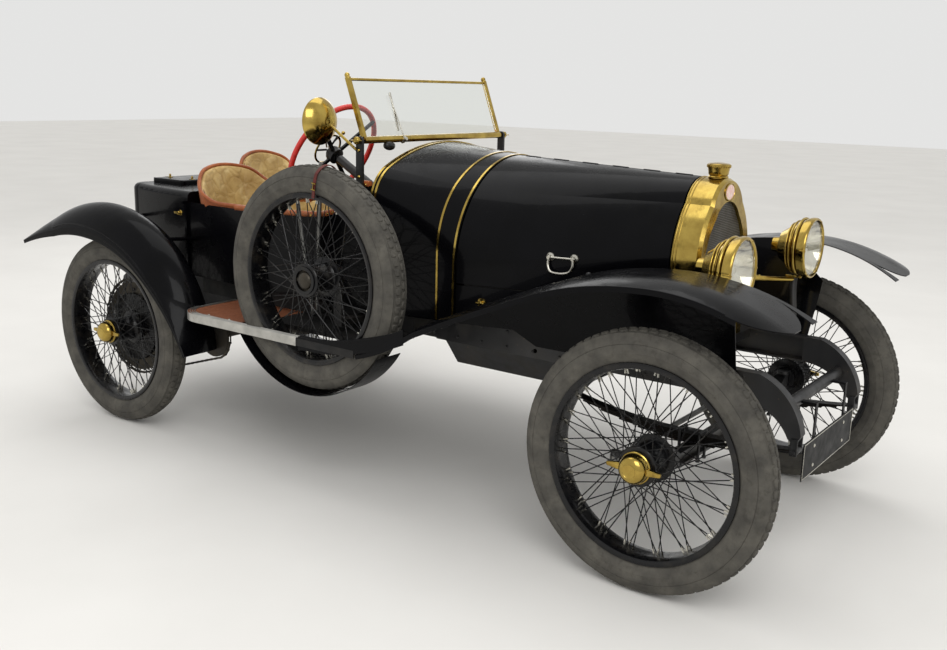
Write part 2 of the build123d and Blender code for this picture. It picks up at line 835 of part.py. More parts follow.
# Bonnet: two halves hinged on a rod along the top, above fixed sill panels
hinge_gap = 6.0
hinge_radius = 3.0
bonnet_shell = lofted_shell(nose_section, bonnet_rear_section, sheet)
bonnet_low = bonnet_sill_z + panel_gap
hinge_drop = sheet / 2
barrel_radius = 5.0
barrel_count = 6
barrel_share = 0.5
scuttle_front_behind = bonnet_rear_behind + panel_gap
hinge_front = Vector(at(bonnet_front_behind), 0, nose_section[-1] - hinge_drop)
hinge_rear = Vector(at(bonnet_rear_behind), 0, bonnet_rear_section[-1] - hinge_drop)
hinge_run = hinge_rear - hinge_front
hinge_reach = hinge_run * ((panel_gap - seat_gap) / hinge_run.length)
for side, side_name in ((1, "left"), (-1, "right")):
    barrels = [
        (hinge_front + hinge_run * ((index + 0.25) / barrel_count),
         hinge_front + hinge_run * ((index + 0.25 + barrel_share) / barrel_count))
        for index in range(0 if side > 0 else 1, barrel_count, 2)
    ]
    with BuildPart() as kept:
        box_between(
            (at(bonnet_rear_behind), min(side * hinge_gap, side * 600), bonnet_low),
            (at(bonnet_front_behind), max(side * hinge_gap, side * 600), 1400),
        )
        for start, end in barrels:
            box_between(
                (end.X, min(side * hinge_radius, side * hinge_gap), 1000),
                (start.X, max(side * hinge_radius, side * hinge_gap), 1400),
            )
    with BuildPart() as half:
        add(bonnet_shell.part)
        add(kept.part, mode=Mode.INTERSECT)
        for start, end in barrels:
            rod_between(tuple(start), tuple(end), barrel_radius)
        rod_between(
            tuple(hinge_front - hinge_run * 0.01),
            tuple(hinge_rear + hinge_run * 0.01),
            hinge_radius + running_gap,
            mode=Mode.SUBTRACT,
        )
    save(half, f"bonnet_{side_name}")
with BuildPart() as bonnet_sills:
    add(bonnet_shell.part)
    box_between(
        (at(bonnet_rear_behind), -600, rail_top),
        (at(bonnet_front_behind), 600, bonnet_sill_z),
        mode=Mode.INTERSECT,
    )
save(bonnet_sills, "bonnet_sills")
with BuildPart() as hinge_rod:
    rod_between(tuple(hinge_front - hinge_reach), tuple(hinge_rear + hinge_reach), hinge_radius)
save(hinge_rod, "bonnet_hinge_rod")

# Scuttle: skin from the bonnet to the cockpit, with its bulkhead
bulkhead_behind = scuttle_front_behind + band_width
scuttle_front = blend_section(bonnet_rear_section, scuttle_rear_section, scuttle_front_behind)
bulkhead_front = blend_section(bonnet_rear_section, scuttle_rear_section, bulkhead_behind)
bulkhead_back = blend_section(bonnet_rear_section, scuttle_rear_section, bulkhead_behind + 6)
scuttle_outside = [body_outline(scuttle_front), body_outline(scuttle_rear_section)]
column_run = Vector(sin(radians(column_tilt)), 0, -cos(radians(column_tilt)))
wheel_hub = Vector(at(steering_wheel_behind), steering_wheel_y, steering_wheel_z)
column_foot = wheel_hub + column_run * 1060
with BuildPart() as scuttle:
    loft(scuttle_outside)
    loft(
        [body_outline(scuttle_front, inset=sheet), body_outline(bulkhead_front, inset=sheet)],
        mode=Mode.SUBTRACT,
    )
    loft(
        [body_outline(bulkhead_back, inset=sheet), body_outline(scuttle_rear_section, inset=sheet)],
        mode=Mode.SUBTRACT,
    )
    box_between((x_front - 2000, -600, 0), (x_front, 600, rail_top), mode=Mode.SUBTRACT)
    rod_between(tuple(wheel_hub), tuple(column_foot), column_radius + 4, mode=Mode.SUBTRACT)
save(scuttle, "scuttle")

# Dashboard: wooden panel across the scuttle, above the drivers' legs
dashboard_behind = 1232.0
dashboard_thickness = 12.0
dashboard_low = 985.0
with BuildPart() as dashboard:
    extrude(
        body_outline(
            blend_section(bonnet_rear_section, scuttle_rear_section, dashboard_behind - dashboard_thickness),
            inset=sheet + 1.0,
            station=dashboard_behind,
        ),
        amount=dashboard_thickness,
    )
    box_between((at(dashboard_behind) - 5, -600, 0), (at(dashboard_behind) + 40, 600, dashboard_low), mode=Mode.SUBTRACT)
    rod_between(tuple(wheel_hub), tuple(column_foot), column_radius + 4, mode=Mode.SUBTRACT)
    add(scuttle.part, mode=Mode.SUBTRACT)
save(dashboard, "dashboard")

# Brass beading round the scuttle
bead_height = 3.0
bead_width = 7.0
bead_stations = (
    scuttle_front_behind + 2,
    scuttle_front_behind + band_width - 7,
    scuttle_rear_behind - 21,
    scuttle_rear_behind - bead_width,
)
with BuildPart() as beading:
    for station in bead_stations:
        ends = [
            blend_section(bonnet_rear_section, scuttle_rear_section, behind)
            for behind in (station, station + bead_width)
        ]
        outside = [body_outline(end, inset=-bead_height) for end in ends]
        inside = [body_outline(end) for end in ends]
        loft(outside)
        loft(inside, mode=Mode.SUBTRACT)
    box_between((x_front - 2000, -600, 0), (x_front, 600, rail_top + 4), mode=Mode.SUBTRACT)
    add(scuttle.part, mode=Mode.SUBTRACT)
save(beading, "brass_beading")


# Steering: column with its box, and the wheel's rim, spokes and boss
box_half = 34.0
with BuildPart() as steering_column:
    rod_between(tuple(wheel_hub + column_run * 42), tuple(column_foot), column_radius)
    rod_between(
        tuple(wheel_hub + column_run * 40),
        tuple(wheel_hub + column_run * 112),
        9 + running_gap,
        mode=Mode.SUBTRACT,
    )
    box_between(
        (column_foot.X - 60, -rail_inner, column_foot.Z - 70),
        (column_foot.X + 60, steering_wheel_y + box_half, column_foot.Z + 45),
    )
save(steering_column, "steering_column")

wheel_plane = Plane(origin=tuple(wheel_hub), x_dir=(0, 1, 0), z_dir=tuple(column_run * -1))
with BuildPart() as steering_wheel:
    with Locations(wheel_plane):
        Torus(steering_wheel_radius, steering_rim_radius)
save(steering_wheel, "steering_wheel")
with BuildPart() as steering_spokes:
    with Locations(wheel_plane.offset(-20)):
        with PolarLocations(0, 4, start_angle=45):
            with Locations(((steering_wheel_radius) / 2, 0, 10)):
                Box(steering_wheel_radius, 17, 7)
        Cylinder(30, 26, align=(Align.CENTER, Align.CENTER, Align.MIN))
        with Locations((0, 0, -88)):
            Cylinder(9, 90, align=(Align.CENTER, Align.CENTER, Align.MIN))
    with Locations(wheel_plane):
        Torus(steering_wheel_radius, steering_rim_radius, mode=Mode.SUBTRACT)
save(steering_spokes, "steering_wheel_spokes")

# Body tub: plan stations are distance behind the front axle and half width
tub_stations = (
    (scuttle_rear_behind, 440),
    (1700, 446),
    (2200, 424),
    (2520, 392),
    (tail_rear_behind - 75, 345),
    (tail_rear_behind - 20, 325),
    (tail_rear_behind, 270),
)


def tub_plan(inset, low, high):
    """Solid over the body's plan between two heights."""
    left = [(at(behind), half) for behind, half in tub_stations]
    right = [(x, -y) for x, y in reversed(left)]
    points = shifted(left + right, -inset)
    with BuildSketch(Plane.XY.offset(low)) as plan:
        with BuildLine():
            for first in (0, 2, 4, 7, 9, 11):
                ThreePointArc(*points[first:first + 3])
            Line(points[6], points[7])
            Line(points[13], points[0])
        make_face()
    with BuildPart() as block:
        extrude(plan.sketch, amount=high - low)
    return block


floor_thickness = 8.0
foot_floor_front = 388.0
foot_floor_rear = 428.0
floor_top = body_low + floor_thickness
cheek_top = 1118.0
deck_front_right = 2330.0
deck_front_left = 2535.0
tub_outside = tub_plan(0, body_low, cheek_top)
tub_inside = tub_plan(wall, floor_top, cheek_top + 40)
with BuildPart() as tub:
    add(tub_outside.part)
    add(tub_inside.part, mode=Mode.SUBTRACT)
    box_between(
        (at(scuttle_rear_behind) - 4, -(scuttle_rear_section[1] - wall), floor_top),
        (at(scuttle_rear_behind) + 4, scuttle_rear_section[1] - wall, cheek_top + 40),
        mode=Mode.SUBTRACT,
    )
    with BuildSketch(Plane.XZ.offset(-600)):
        with BuildLine():
            Line((at(scuttle_rear_behind) + 2, cheek_top + 90), (at(scuttle_rear_behind) + 2, cheek_top))
            Line((at(scuttle_rear_behind) + 2, cheek_top), (at(scuttle_rear_behind + 60), cheek_top))
            ThreePointArc(
                (at(scuttle_rear_behind + 60), cheek_top),
                (at(scuttle_rear_behind + 130), 1030),
                (at(scuttle_rear_behind + 290), 982),
            )
            Line((at(scuttle_rear_behind + 290), 982), (at(2000), cockpit_side_z))
            Line((at(2000), cockpit_side_z), (at(tail_rear_behind + 60), cockpit_side_z))
            Line((at(tail_rear_behind + 60), cockpit_side_z), (at(tail_rear_behind + 60), cheek_top + 90))
            Line((at(tail_rear_behind + 60), cheek_top + 90), (at(scuttle_rear_behind) + 2, cheek_top + 90))
        make_face()
    extrude(amount=1200, mode=Mode.SUBTRACT)
    with BuildSketch(Plane.XY.offset(body_low)):
        with BuildLine():
            Polyline(
                (at(scuttle_rear_behind + 30), -foot_floor_rear),
                (at(bulkhead_behind + 7), -foot_floor_front),
                (at(bulkhead_behind + 7), foot_floor_front),
                (at(scuttle_rear_behind + 30), foot_floor_rear),
                close=True,
            )
        make_face()
    extrude(amount=floor_thickness)
save(tub, "body_tub")

# Tail: crowned deck with the bulkheads behind both seats and the locker's mouth
lid_front = 2570.0
lid_rear = 2790.0
lid_half = 250.0
lid_thickness = 20.0
lid_lip = 14.0
lid_hinge_radius = 7.0
lid_pin_radius = 3.5
lid_hinge_x = at(lid_rear) - lid_hinge_radius
lid_hinge_z = deck_z + lid_thickness - lid_hinge_radius
lid_hinge_ys = (-150.0, 150.0)
lid_barrel = 40.0
lid_lug = 12.0
with BuildPart() as tail_deck:
    add(tub_plan(0, cockpit_side_z, deck_z).part)
    rim_edges = tail_deck.edges().group_by(Axis.Z)[-1]
    fillet(rim_edges, radius=26)
    box_between((at(deck_front_right), -600, 900), (at(0), 0.5, 1200), mode=Mode.SUBTRACT)
    box_between((at(deck_front_left), 0, 900), (at(0), 600, 1200), mode=Mode.SUBTRACT)
    box_between((at(deck_front_right + 12), -440, floor_top), (at(deck_front_right), 0, cockpit_side_z + 5))
    box_between((at(deck_front_left + 12), -12, floor_top), (at(deck_front_left), 440, cockpit_side_z + 5))
    box_between((at(deck_front_left + 12), -12, floor_top), (at(deck_front_right), 0, cockpit_side_z + 5))
    box_between(
        (at(lid_rear - lid_lip), -lid_half + lid_lip, cockpit_side_z - 20),
        (at(lid_front + lid_lip), lid_half - lid_lip, deck_z + 10),
        mode=Mode.SUBTRACT,
    )
    add(tub.part, mode=Mode.SUBTRACT)
    box_between((at(2900), -600, 600), (at(2200), -425, 960), mode=Mode.SUBTRACT)
    box_between((at(2900), 425, 600), (at(2200), 600, 960), mode=Mode.SUBTRACT)
    for hinge_y in lid_hinge_ys:
        for lug_y in (hinge_y - lid_barrel / 2 - 1 - lid_lug, hinge_y + lid_barrel / 2 + 1):
            box_between(
                (lid_hinge_x - lid_hinge_radius, lug_y, deck_z - 2),
                (lid_hinge_x + lid_hinge_radius - 1, lug_y + lid_lug, lid_hinge_z),
            )
            rod_between((lid_hinge_x, lug_y, lid_hinge_z), (lid_hinge_x, lug_y + lid_lug, lid_hinge_z), 6)
            rod_between(
                (lid_hinge_x, lug_y - 1, lid_hinge_z),
                (lid_hinge_x, lug_y + lid_lug + 1, lid_hinge_z),
                lid_pin_radius + running_gap,
                mode=Mode.SUBTRACT,
            )
save(tail_deck, "tail_deck")

with BuildPart() as boot_lid:
    box_between((at(lid_rear), -lid_half, deck_z + seat_gap), (at(lid_front), lid_half, deck_z + lid_thickness))
    fillet(boot_lid.edges().filter_by(Axis.Z), radius=18)
    fillet(boot_lid.edges().group_by(Axis.Z)[-1], radius=6)
    for hinge_y in lid_hinge_ys:
        for lug_y in (hinge_y - lid_barrel / 2 - 1 - lid_lug, hinge_y + lid_barrel / 2 + 1):
            box_between(
                (at(lid_rear) - 1, lug_y - 2, deck_z),
                (at(lid_rear) + lid_hinge_radius, lug_y + lid_lug + 2, deck_z + lid_thickness),
                mode=Mode.SUBTRACT,
            )
        rod_between(
            (lid_hinge_x, hinge_y - lid_barrel / 2, lid_hinge_z),
            (lid_hinge_x, hinge_y + lid_barrel / 2, lid_hinge_z),
            lid_hinge_radius,
        )
        box_between(
            (lid_hinge_x, hinge_y - lid_barrel / 2, lid_hinge_z - 3),
            (at(lid_rear) + 2, hinge_y + lid_barrel / 2, lid_hinge_z + 3),
        )
        rod_between(
            (lid_hinge_x, hinge_y - lid_barrel / 2 - 1 - lid_lug, lid_hinge_z),
            (lid_hinge_x, hinge_y + lid_barrel / 2 + 1 + lid_lug, lid_hinge_z),
            lid_pin_radius,
        )
save(boot_lid, "boot_lid")

# Seats: plain soft solids, each a rounded tub of padded wall round a cushion
seat_wall = 50.0
cushion_top = 820.0
cushion_length = 470.0


def seat_plan(seat_y, half, back_x, front_x, high):
    """Solid over a plan with a rounded back, from the floor up."""
    shoulder_x = back_x + 0.75 * half
    with BuildSketch(Plane.XY.offset(floor_top + seat_gap)) as plan:
        with BuildLine():
            Line((front_x, seat_y - half), (shoulder_x, seat_y - half))
            ThreePointArc((shoulder_x, seat_y - half), (back_x, seat_y), (shoulder_x, seat_y + half))
            Line((shoulder_x, seat_y + half), (front_x, seat_y + half))
            Line((front_x, seat_y + half), (front_x, seat_y - half))
        make_face()
    with BuildPart() as block:
        extrude(plan.sketch, amount=high - floor_top)
    return block


def seat(seat_y, half, back_behind, arm_front_behind, back_top):
    """Padded wall, low at the arms and arched at the back, with its cushion."""
    back_x = at(back_behind)
    arm_x = at(arm_front_behind)
    arm_top = cockpit_side_z + 6
    with BuildPart() as side_shape:
        with BuildSketch(Plane.XZ.offset(-(seat_y - half - 10))):
            with BuildLine():
                Line((back_x - 10, floor_top), (back_x - 10, back_top))
                Line((back_x - 10, back_top), (back_x + 60, back_top))
                ThreePointArc((back_x + 60, back_top), (back_x + 200, back_top - 88), (back_x + 380, arm_top))
                Line((back_x + 380, arm_top), (arm_x, arm_top))
                Line((arm_x, arm_top), (arm_x, floor_top))
                Line((arm_x, floor_top), (back_x - 10, floor_top))
            make_face()
        extrude(amount=-(2 * half + 20))
    with BuildPart() as back_shape:
        with BuildSketch(Plane.YZ.offset(back_x - 10)):
            with BuildLine():
                Line((seat_y - half - 5, floor_top), (seat_y - half - 5, back_top - 70))
                ThreePointArc(
                    (seat_y - half - 5, back_top - 70),
                    (seat_y, back_top),
                    (seat_y + half + 5, back_top - 70),
                )
                Line((seat_y + half + 5, back_top - 70), (seat_y + half + 5, floor_top))
                Line((seat_y + half + 5, floor_top), (seat_y - half - 5, floor_top))
            make_face()
        extrude(amount=arm_x - back_x + 20)
    with BuildPart() as piece:
        add(seat_plan(seat_y, half, back_x, arm_x, back_top).part)
        add(seat_plan(seat_y, half - seat_wall, back_x + seat_wall, arm_x + 1, back_top + 10).part, mode=Mode.SUBTRACT)
        add(side_shape.part, mode=Mode.INTERSECT)
        add(back_shape.part, mode=Mode.INTERSECT)
        add(seat_plan(seat_y, half - seat_wall + 2, back_x + seat_wall - 2, back_x + cushion_length, cushion_top).part)
    return piece


with BuildPart() as seats:
    add(seat(-200.0, 192.0, driver_back_behind, 1780.0, 1108.0).part)
    add(seat(190.0, 178.0, passenger_back_behind, 1990.0, 1140.0).part)
save(seats, "seats")


def strip(points, depth, start_y, width):
    """Curved sheet: a side-view curve given a depth and carried across the car."""
    under = shifted(points, depth)
    with BuildPart() as sheet_piece:
        with BuildSketch(Plane.XZ.offset(-start_y)):
            with BuildLine():
                for index in range(0, len(points) - 1, 2):
                    ThreePointArc(*points[index:index + 3])
                    ThreePointArc(*under[index:index + 3])
                Line(points[0], under[0])
                Line(points[-1], under[-1])
            make_face()
        extrude(amount=-width)
    return sheet_piece


# Room for the bonnet and scuttle, which the front wings stop at
with BuildPart() as hood_room:
    room = bead_height + seat_gap
    loft([body_outline(nose_section, inset=-room), body_outline(bonnet_rear_section, inset=-room)])
    loft([body_outline(bonnet_rear_section, inset=-room), body_outline(scuttle_rear_section, inset=-room)])

# Wing curves in side view: distance behind the front axle and height, in arcs of three
front_wing_curve = (
    (1075, 586.5), (955, 630), (830, 700), (615, 795), (400, 883),
    (215, 940), (10, 965), (-190, 947), (-400, 862),
)
rear_wing_crown = (
    (3120, 765), (3020, 827), (2915, 882), (2715, 948), (2475, 935), (2179, 778), (2045, 586),
    (2003, 495), (1985, 400),
)
rear_wing_edge = (
    (3095, 752), (2980, 785), (2857, 808), (2730, 828), (2603, 826), (2430, 790), (2269, 706),
    (2115, 575), (1985, 400),
)
# Rows across a wing: distance from the car's middle, and the share of the way from crown to edge
front_wing_rows = ((620.0, 0.0), (675.5, 0.25), (wing_outer_y, 1.0))
rear_wing_rows = ((625.0, 0.0), (695.0, 0.28), (wing_outer_y, 1.0))
front_edge_drop = 20.0
inner_edge_drop = 18.0
edge_sheet = 10.0
lip_depth = 14.0
inner_lip_depth = 60.0
apron_low = 600.0
apron_foot_y = rail_outer + seat_gap
apron_crown_z = front_wing_curve[6][1]
apron_plane = Plane(
    origin=(0, -apron_foot_y, apron_low),
    x_dir=(1, 0, 0),
    z_dir=(0, apron_low - apron_crown_z, apron_foot_y - front_wing_inner_y),
)


lever_x = at(lever_behind)
board_rear_behind = 2026.0
valance_rear_behind = 2260.0


def spare_well():
    """Space kept for the spare wheel in the right wing and board."""
    depth = tyre_section + 2 * well_gap - 5
    with BuildPart() as well:
        with Locations(Location((at(spare_behind), spare_y + 2, spare_z), (90, 0, 0))):
            Cylinder(tyre_radius + well_gap, depth)
    return well.part


def round_corner(x, y, along, across, towards_x, towards_y):
    """Cuts a corner to a quarter ellipse in plan; towards_* point from the corner inwards."""
    low = 380.0
    with BuildPart() as corner:
        with BuildSketch(Plane.XY.offset(low)):
            with Locations((x + towards_x * (along / 2 - 1), y + towards_y * (across / 2 - 1))):
                Rectangle(along + 2, across + 2)
            with Locations((x + towards_x * along, y + towards_y * across)):
                Ellipse(along, across, mode=Mode.SUBTRACT)
        extrude(amount=700)
    add(corner.part, mode=Mode.SUBTRACT)


def side_curve(table):
    """Points of a side-view table in the frame."""
    return [(at(behind), height) for behind, height in table]


def between(first, second, share):
    """Curve part of the way from one side-view curve to another."""
    return [(a[0] + (b[0] - a[0]) * share, a[1] + (b[1] - a[1]) * share) for a, b in zip(first, second)]


def sheet_section(points, depth, y):
    """Closed section of a curved sheet, on the right side at a distance from the car's middle."""
    under = shifted(points, depth)
    with BuildSketch(Plane.XZ.offset(y)) as section:
        with BuildLine():
            for index in range(0, len(points) - 1, 2):
                ThreePointArc(*points[index:index + 3])
                ThreePointArc(*under[index:index + 3])
            Line(points[0], under[0])
            Line(points[-1], under[-1])
        make_face()
    return section.sketch


def front_wing(with_well):
    """Right front wing: flat inside, falling to a lip outside, with the apron down to the frame."""
    crown = side_curve(front_wing_curve)
    edge = shifted(crown, front_edge_drop)
    under = shifted(crown, wing_sheet)
    with BuildPart() as apron:
        with BuildSketch(Plane.XZ.offset(apron_foot_y)):
            with BuildLine():
                ThreePointArc(*under[2:5])
                ThreePointArc(*under[4:7])
                Line(under[6], (under[6][0] + 165, under[6][1] - 130))
                Line((under[6][0] + 165, under[6][1] - 130), (under[6][0] + 150, apron_low))
                Line((under[6][0] + 150, apron_low), (under[2][0], apron_low))
                Line((under[2][0], apron_low), under[2])
            make_face()
        extrude(amount=front_wing_inner_y - apron_foot_y + 20)
        split(bisect_by=apron_plane, keep=Keep.TOP)
        split(bisect_by=apron_plane.offset(wing_sheet), keep=Keep.BOTTOM)
    with BuildPart() as wing:
        add(strip(crown, wing_sheet, -front_wing_rows[0][0], front_wing_rows[0][0] - apron_foot_y).part)
        split(bisect_by=apron_plane, keep=Keep.TOP)
        loft([sheet_section(between(crown, edge, share), wing_sheet, y) for y, share in front_wing_rows])
        add(strip(edge, lip_depth, -wing_outer_y, wing_sheet).part)
        add(apron.part)
        if with_well:
            add(spare_well(), mode=Mode.SUBTRACT)
        add(hood_room.part, mode=Mode.SUBTRACT)
        round_corner(crown[-1][0] + 1, -wing_outer_y, 150, 150, -1, 1)
        round_corner(crown[-1][0] + 1, -front_wing_inner_y, 110, 121, -1, -1)
    return wing


def rear_wing():
    """Right rear wing: crowned sheet with a deep outer edge, an inner lip and two stays."""
    crown = side_curve(rear_wing_crown)
    edge = side_curve(rear_wing_edge)
    inner = shifted(crown, inner_edge_drop)
    with BuildPart() as wing:
        rows = [sheet_section(inner, wing_sheet, rear_wing_inner_y)]
        for y, share in rear_wing_rows:
            rows.append(sheet_section(between(crown, edge, share), wing_sheet + edge_sheet * share, y))
        loft(rows)
        add(strip(inner, inner_lip_depth, -rear_wing_inner_y - wing_sheet, wing_sheet).part)
        for behind, height in ((2290, 825), (2740, 885)):
            rod_between((at(behind), -330, height - 20), (at(behind), -rear_wing_inner_y - 2, height), 8)
        add(tub_outside.part, mode=Mode.SUBTRACT)
        round_corner(crown[0][0] - 1, -wing_outer_y, 260, 88, 1, 1)
        round_corner(crown[0][0] - 1, -rear_wing_inner_y, 260, 88, 1, -1)
    return wing


def running_board(with_well):
    """Right running board on two arms from the frame, with its turned-down edge."""
    board_front = at(front_wing_curve[0][0])
    board_rear = at(board_rear_behind)
    with BuildPart() as board:
        box_between(
            (board_rear, -board_outer_y, board_z - board_thickness),
            (board_front, -board_inner_y, board_z),
        )
        box_between(
            (board_rear, -board_outer_y, board_z - 28),
            (board_front, -board_outer_y + 4, board_z),
        )
        for behind in (1150, 1800):
            box_between(
                (at(behind) - 18, -board_outer_y + 30, board_z - board_thickness - 12),
                (at(behind) + 18, -rail_outer, board_z - board_thickness),
            )
        box_between(
            (board_rear, -board_inner_y - 4, board_z - 4),
            (board_front, -board_inner_y, body_low - 4),
        )
        rod_between((lever_x, -rail_outer, lever_shaft_z), (lever_x, -500, lever_shaft_z), 14, mode=Mode.SUBTRACT)
        box_between(
            (at(spare_behind) - carrier_half - 2, -board_inner_y - 10, carrier_low - 2),
            (at(spare_behind) + carrier_half + 2, -board_inner_y + 10, carrier_low + carrier_arm + 2),
            mode=Mode.SUBTRACT,
        )
        box_between(
            (at(valance_rear_behind), -board_inner_y - 4, board_z - 4),
            (board_rear + 1, -board_inner_y, body_low - 4),
        )
        round_corner(board_rear, -board_outer_y, 115, 90, 1, 1)
        if with_well:
            add(spare_well(), mode=Mode.SUBTRACT)
    return board


for name, right_piece, left_piece in (
    ("front_wings", front_wing(True), front_wing(False)),
    ("running_boards", running_board(True), running_board(False)),
    ("rear_wings", rear_wing(), rear_wing()),
):
    with BuildPart() as pair:
        add(right_piece.part)
        mirror(left_piece.part, about=Plane.XZ)
    save(pair, name)

# Windscreen: brass posts on the body, a raked frame hinged on them, and its glass
post_width = 30.0
post_thickness = 12.0
hinge_pin_radius = 5.0
screen_side_y = screen_y - 17.0
with BuildPart() as screen_posts:
    for side in (-1, 1):
        box_between(
            (at(screen_behind) - post_width / 2, side * screen_y - post_thickness / 2, 1000),
            (at(screen_behind) + post_width / 2, side * screen_y + post_thickness / 2, screen_hinge_z),
        )
        rod_between(
            (at(screen_behind), side * screen_y - post_thickness / 2, screen_hinge_z),
            (at(screen_behind), side * screen_y + post_thickness / 2, screen_hinge_z),
            post_width / 2,
        )
        rod_between(
            (at(screen_behind), side * screen_y - 20, screen_hinge_z),
            (at(screen_behind), side * screen_y + 20, screen_hinge_z),
            hinge_pin_radius + running_gap,
            mode=Mode.SUBTRACT,
        )
    for side in (-1, 1):
        box_between(
            (at(screen_behind) - post_width / 2, side * 445 - 10, 1000),
            (at(screen_behind) + post_width / 2, side * 445 + 10, 1100),
        )
    add(tub_outside.part, mode=Mode.SUBTRACT)
save(screen_posts, "windscreen_posts")

screen_plane = Plane(
    origin=(at(screen_behind), 0, screen_hinge_z),
    x_dir=(0, 1, 0),
    z_dir=(cos(radians(screen_rake)), 0, sin(radians(screen_rake))),
)
screen_length = screen_height / cos(radians(screen_rake))
side_bar = 16.0
with BuildPart() as screen_frame:
    with Locations(screen_plane):
        for side in (-1, 1):
            with Locations((side * (screen_side_y - side_bar / 2), screen_length / 2, 0)):
                Box(side_bar, screen_length, side_bar)
            with Locations((side * (screen_side_y - side_bar / 2), screen_length + 8, 0)):
                Sphere(10)
    rod_between(
        (at(screen_behind), -screen_side_y + 1, screen_hinge_z),
        (at(screen_behind), screen_side_y - 1, screen_hinge_z),
        13,
    )
    top_rail = screen_plane.from_local_coords((0, screen_length - 8, 0))
    rod_between((top_rail.X, -screen_side_y + 4, top_rail.Z), (top_rail.X, screen_side_y - 4, top_rail.Z), 6)
    for side in (-1, 1):
        rod_between(
            (at(screen_behind), side * (screen_side_y - 10), screen_hinge_z),
            (at(screen_behind), side * (screen_y + 14), screen_hinge_z),
            hinge_pin_radius,
        )
        rod_between(
            (at(screen_behind), side * (screen_y + post_thickness / 2 + 0.5), screen_hinge_z),
            (at(screen_behind), side * (screen_y + 22), screen_hinge_z),
            11,
        )
save(screen_frame, "windscreen_frame")
with BuildPart() as screen_glass:
    with Locations(screen_plane):
        with Locations((0, screen_length / 2, 0)):
            Box(2 * (screen_side_y - side_bar - seat_gap), screen_length - 2, 5)
        with Locations((0, screen_length + 20, 0)):
            Box(2 * screen_side_y, 56, 40, mode=Mode.SUBTRACT)
    add(screen_frame.part, mode=Mode.SUBTRACT)
    box_between((at(screen_behind) - 300, -600, 0), (at(screen_behind) + 300, 600, screen_hinge_z + 6), mode=Mode.SUBTRACT)
save(screen_glass, "windscreen_glass")

# Headlamps: deep brass bowls with clear lenses, on forked posts from the frame
lamp_front = x_front + lamp_ahead
lamp_profile = (
    (0, -lamp_depth - 6), (26, -lamp_depth - 6), (28, -lamp_depth + 16), (52, -lamp_depth + 26), (76, -66),
    (90, -38), (lamp_radius - 9, -20), (lamp_radius - 4, -20), (lamp_radius - 4, -10), (lamp_radius, -10),
    (lamp_radius, 8), (lamp_radius - 9, 8), (lamp_radius - 9, 0), (lamp_radius - 14, -18), (72, -60),
    (46, -lamp_depth + 34), (0, -lamp_depth + 26),
)
with BuildPart() as lamp_bowl:
    with BuildSketch(Plane.XZ):
        with BuildLine():
            Polyline(*lamp_profile, close=True)
        make_face()
    revolve(axis=Axis.Z)
with BuildPart() as headlamps:
    with Locations(
        Location((lamp_front, -lamp_y, lamp_z), (0, 90, 0)),
        Location((lamp_front, lamp_y, lamp_z), (0, 90, 0)),
    ):
        add(lamp_bowl.part)
save(headlamps, "headlamps")
with BuildPart() as lamp_lenses:
    for side in (-1, 1):
        rod_between(
            (lamp_front + 1, side * lamp_y, lamp_z),
            (lamp_front + 6, side * lamp_y, lamp_z),
            lamp_radius - 9 - seat_gap,
        )
save(lamp_lenses, "lamp_lenses")
fork_radius = 7.0
fork_x = lamp_front - 30.0
fork_ring_radius = 100.4
with BuildPart() as lamp_brackets:
    for side in (-1, 1):
        rod_between((fork_x, side * (rail_y + 6), rail_top + 2), (fork_x, side * lamp_y, lamp_z - fork_ring_radius - 4), 12)
        with Locations(Location((fork_x, side * lamp_y, lamp_z), (0, 90, 0))):
            Torus(fork_ring_radius, fork_radius)
save(lamp_brackets, "lamp_brackets")

# Driver's mirror: domed brass back on an arm from the screen post
mirror_radius = 86.0
mirror_depth = 46.0
mirror_place = (at(1455), -500, 1344)
mirror_rim = 6.0
with BuildPart() as mirror_dome:
    with BuildSketch(Plane.XZ):
        with BuildLine():
            Polyline((0, mirror_depth), (0, 0), (mirror_radius, 0), (mirror_radius, mirror_rim))
            ThreePointArc(
                (mirror_radius, mirror_rim),
                (mirror_radius * 0.62, mirror_depth * 0.8),
                (0, mirror_depth),
            )
        make_face()
    revolve(axis=Axis.Z)
with BuildPart() as driver_mirror:
    with Locations(Location(mirror_place, (0, 90, 0))):
        add(mirror_dome.part)
    rod_between(
        (at(screen_behind) - 8, -screen_y - post_thickness / 2 - 5, screen_hinge_z - 34),
        (mirror_place[0] + mirror_depth - 12, mirror_place[1] + 14, mirror_place[2] - 6),
        5,
    )
save(driver_mirror, "driver_mirror")

# Brake and gear levers outside the body, on a shaft from the frame
with BuildPart() as levers:
    rod_between((lever_x, -rail_outer, lever_shaft_z), (lever_x, -500, lever_shaft_z), 10)
    rod_between((lever_x, -472, lever_shaft_z), (lever_x + 30, -472, 1190), 8)
    rod_between((lever_x, -492, lever_shaft_z), (lever_x - 90, -492, 1120), 8)
save(levers, "control_levers")

# Exhaust: pipe and silencer on the left under the floor
with BuildPart() as exhaust:
    rod_between((at(840), 110, 594), (at(1080), 200, 500), 22)
    rod_between((at(1070), 200, 500), (at(2900), 200, 500), 22)
    rod_between((at(1850), 200, 500), (at(1450), 200, 500), 60)
    for behind in (1150, 2060):
        box_between((at(behind) - 15, 196, 510), (at(behind) + 15, 204, 622 - cross_tube_radius - seat_gap))
    add(engine.part, mode=Mode.SUBTRACT)
save(exhaust, "exhaust")

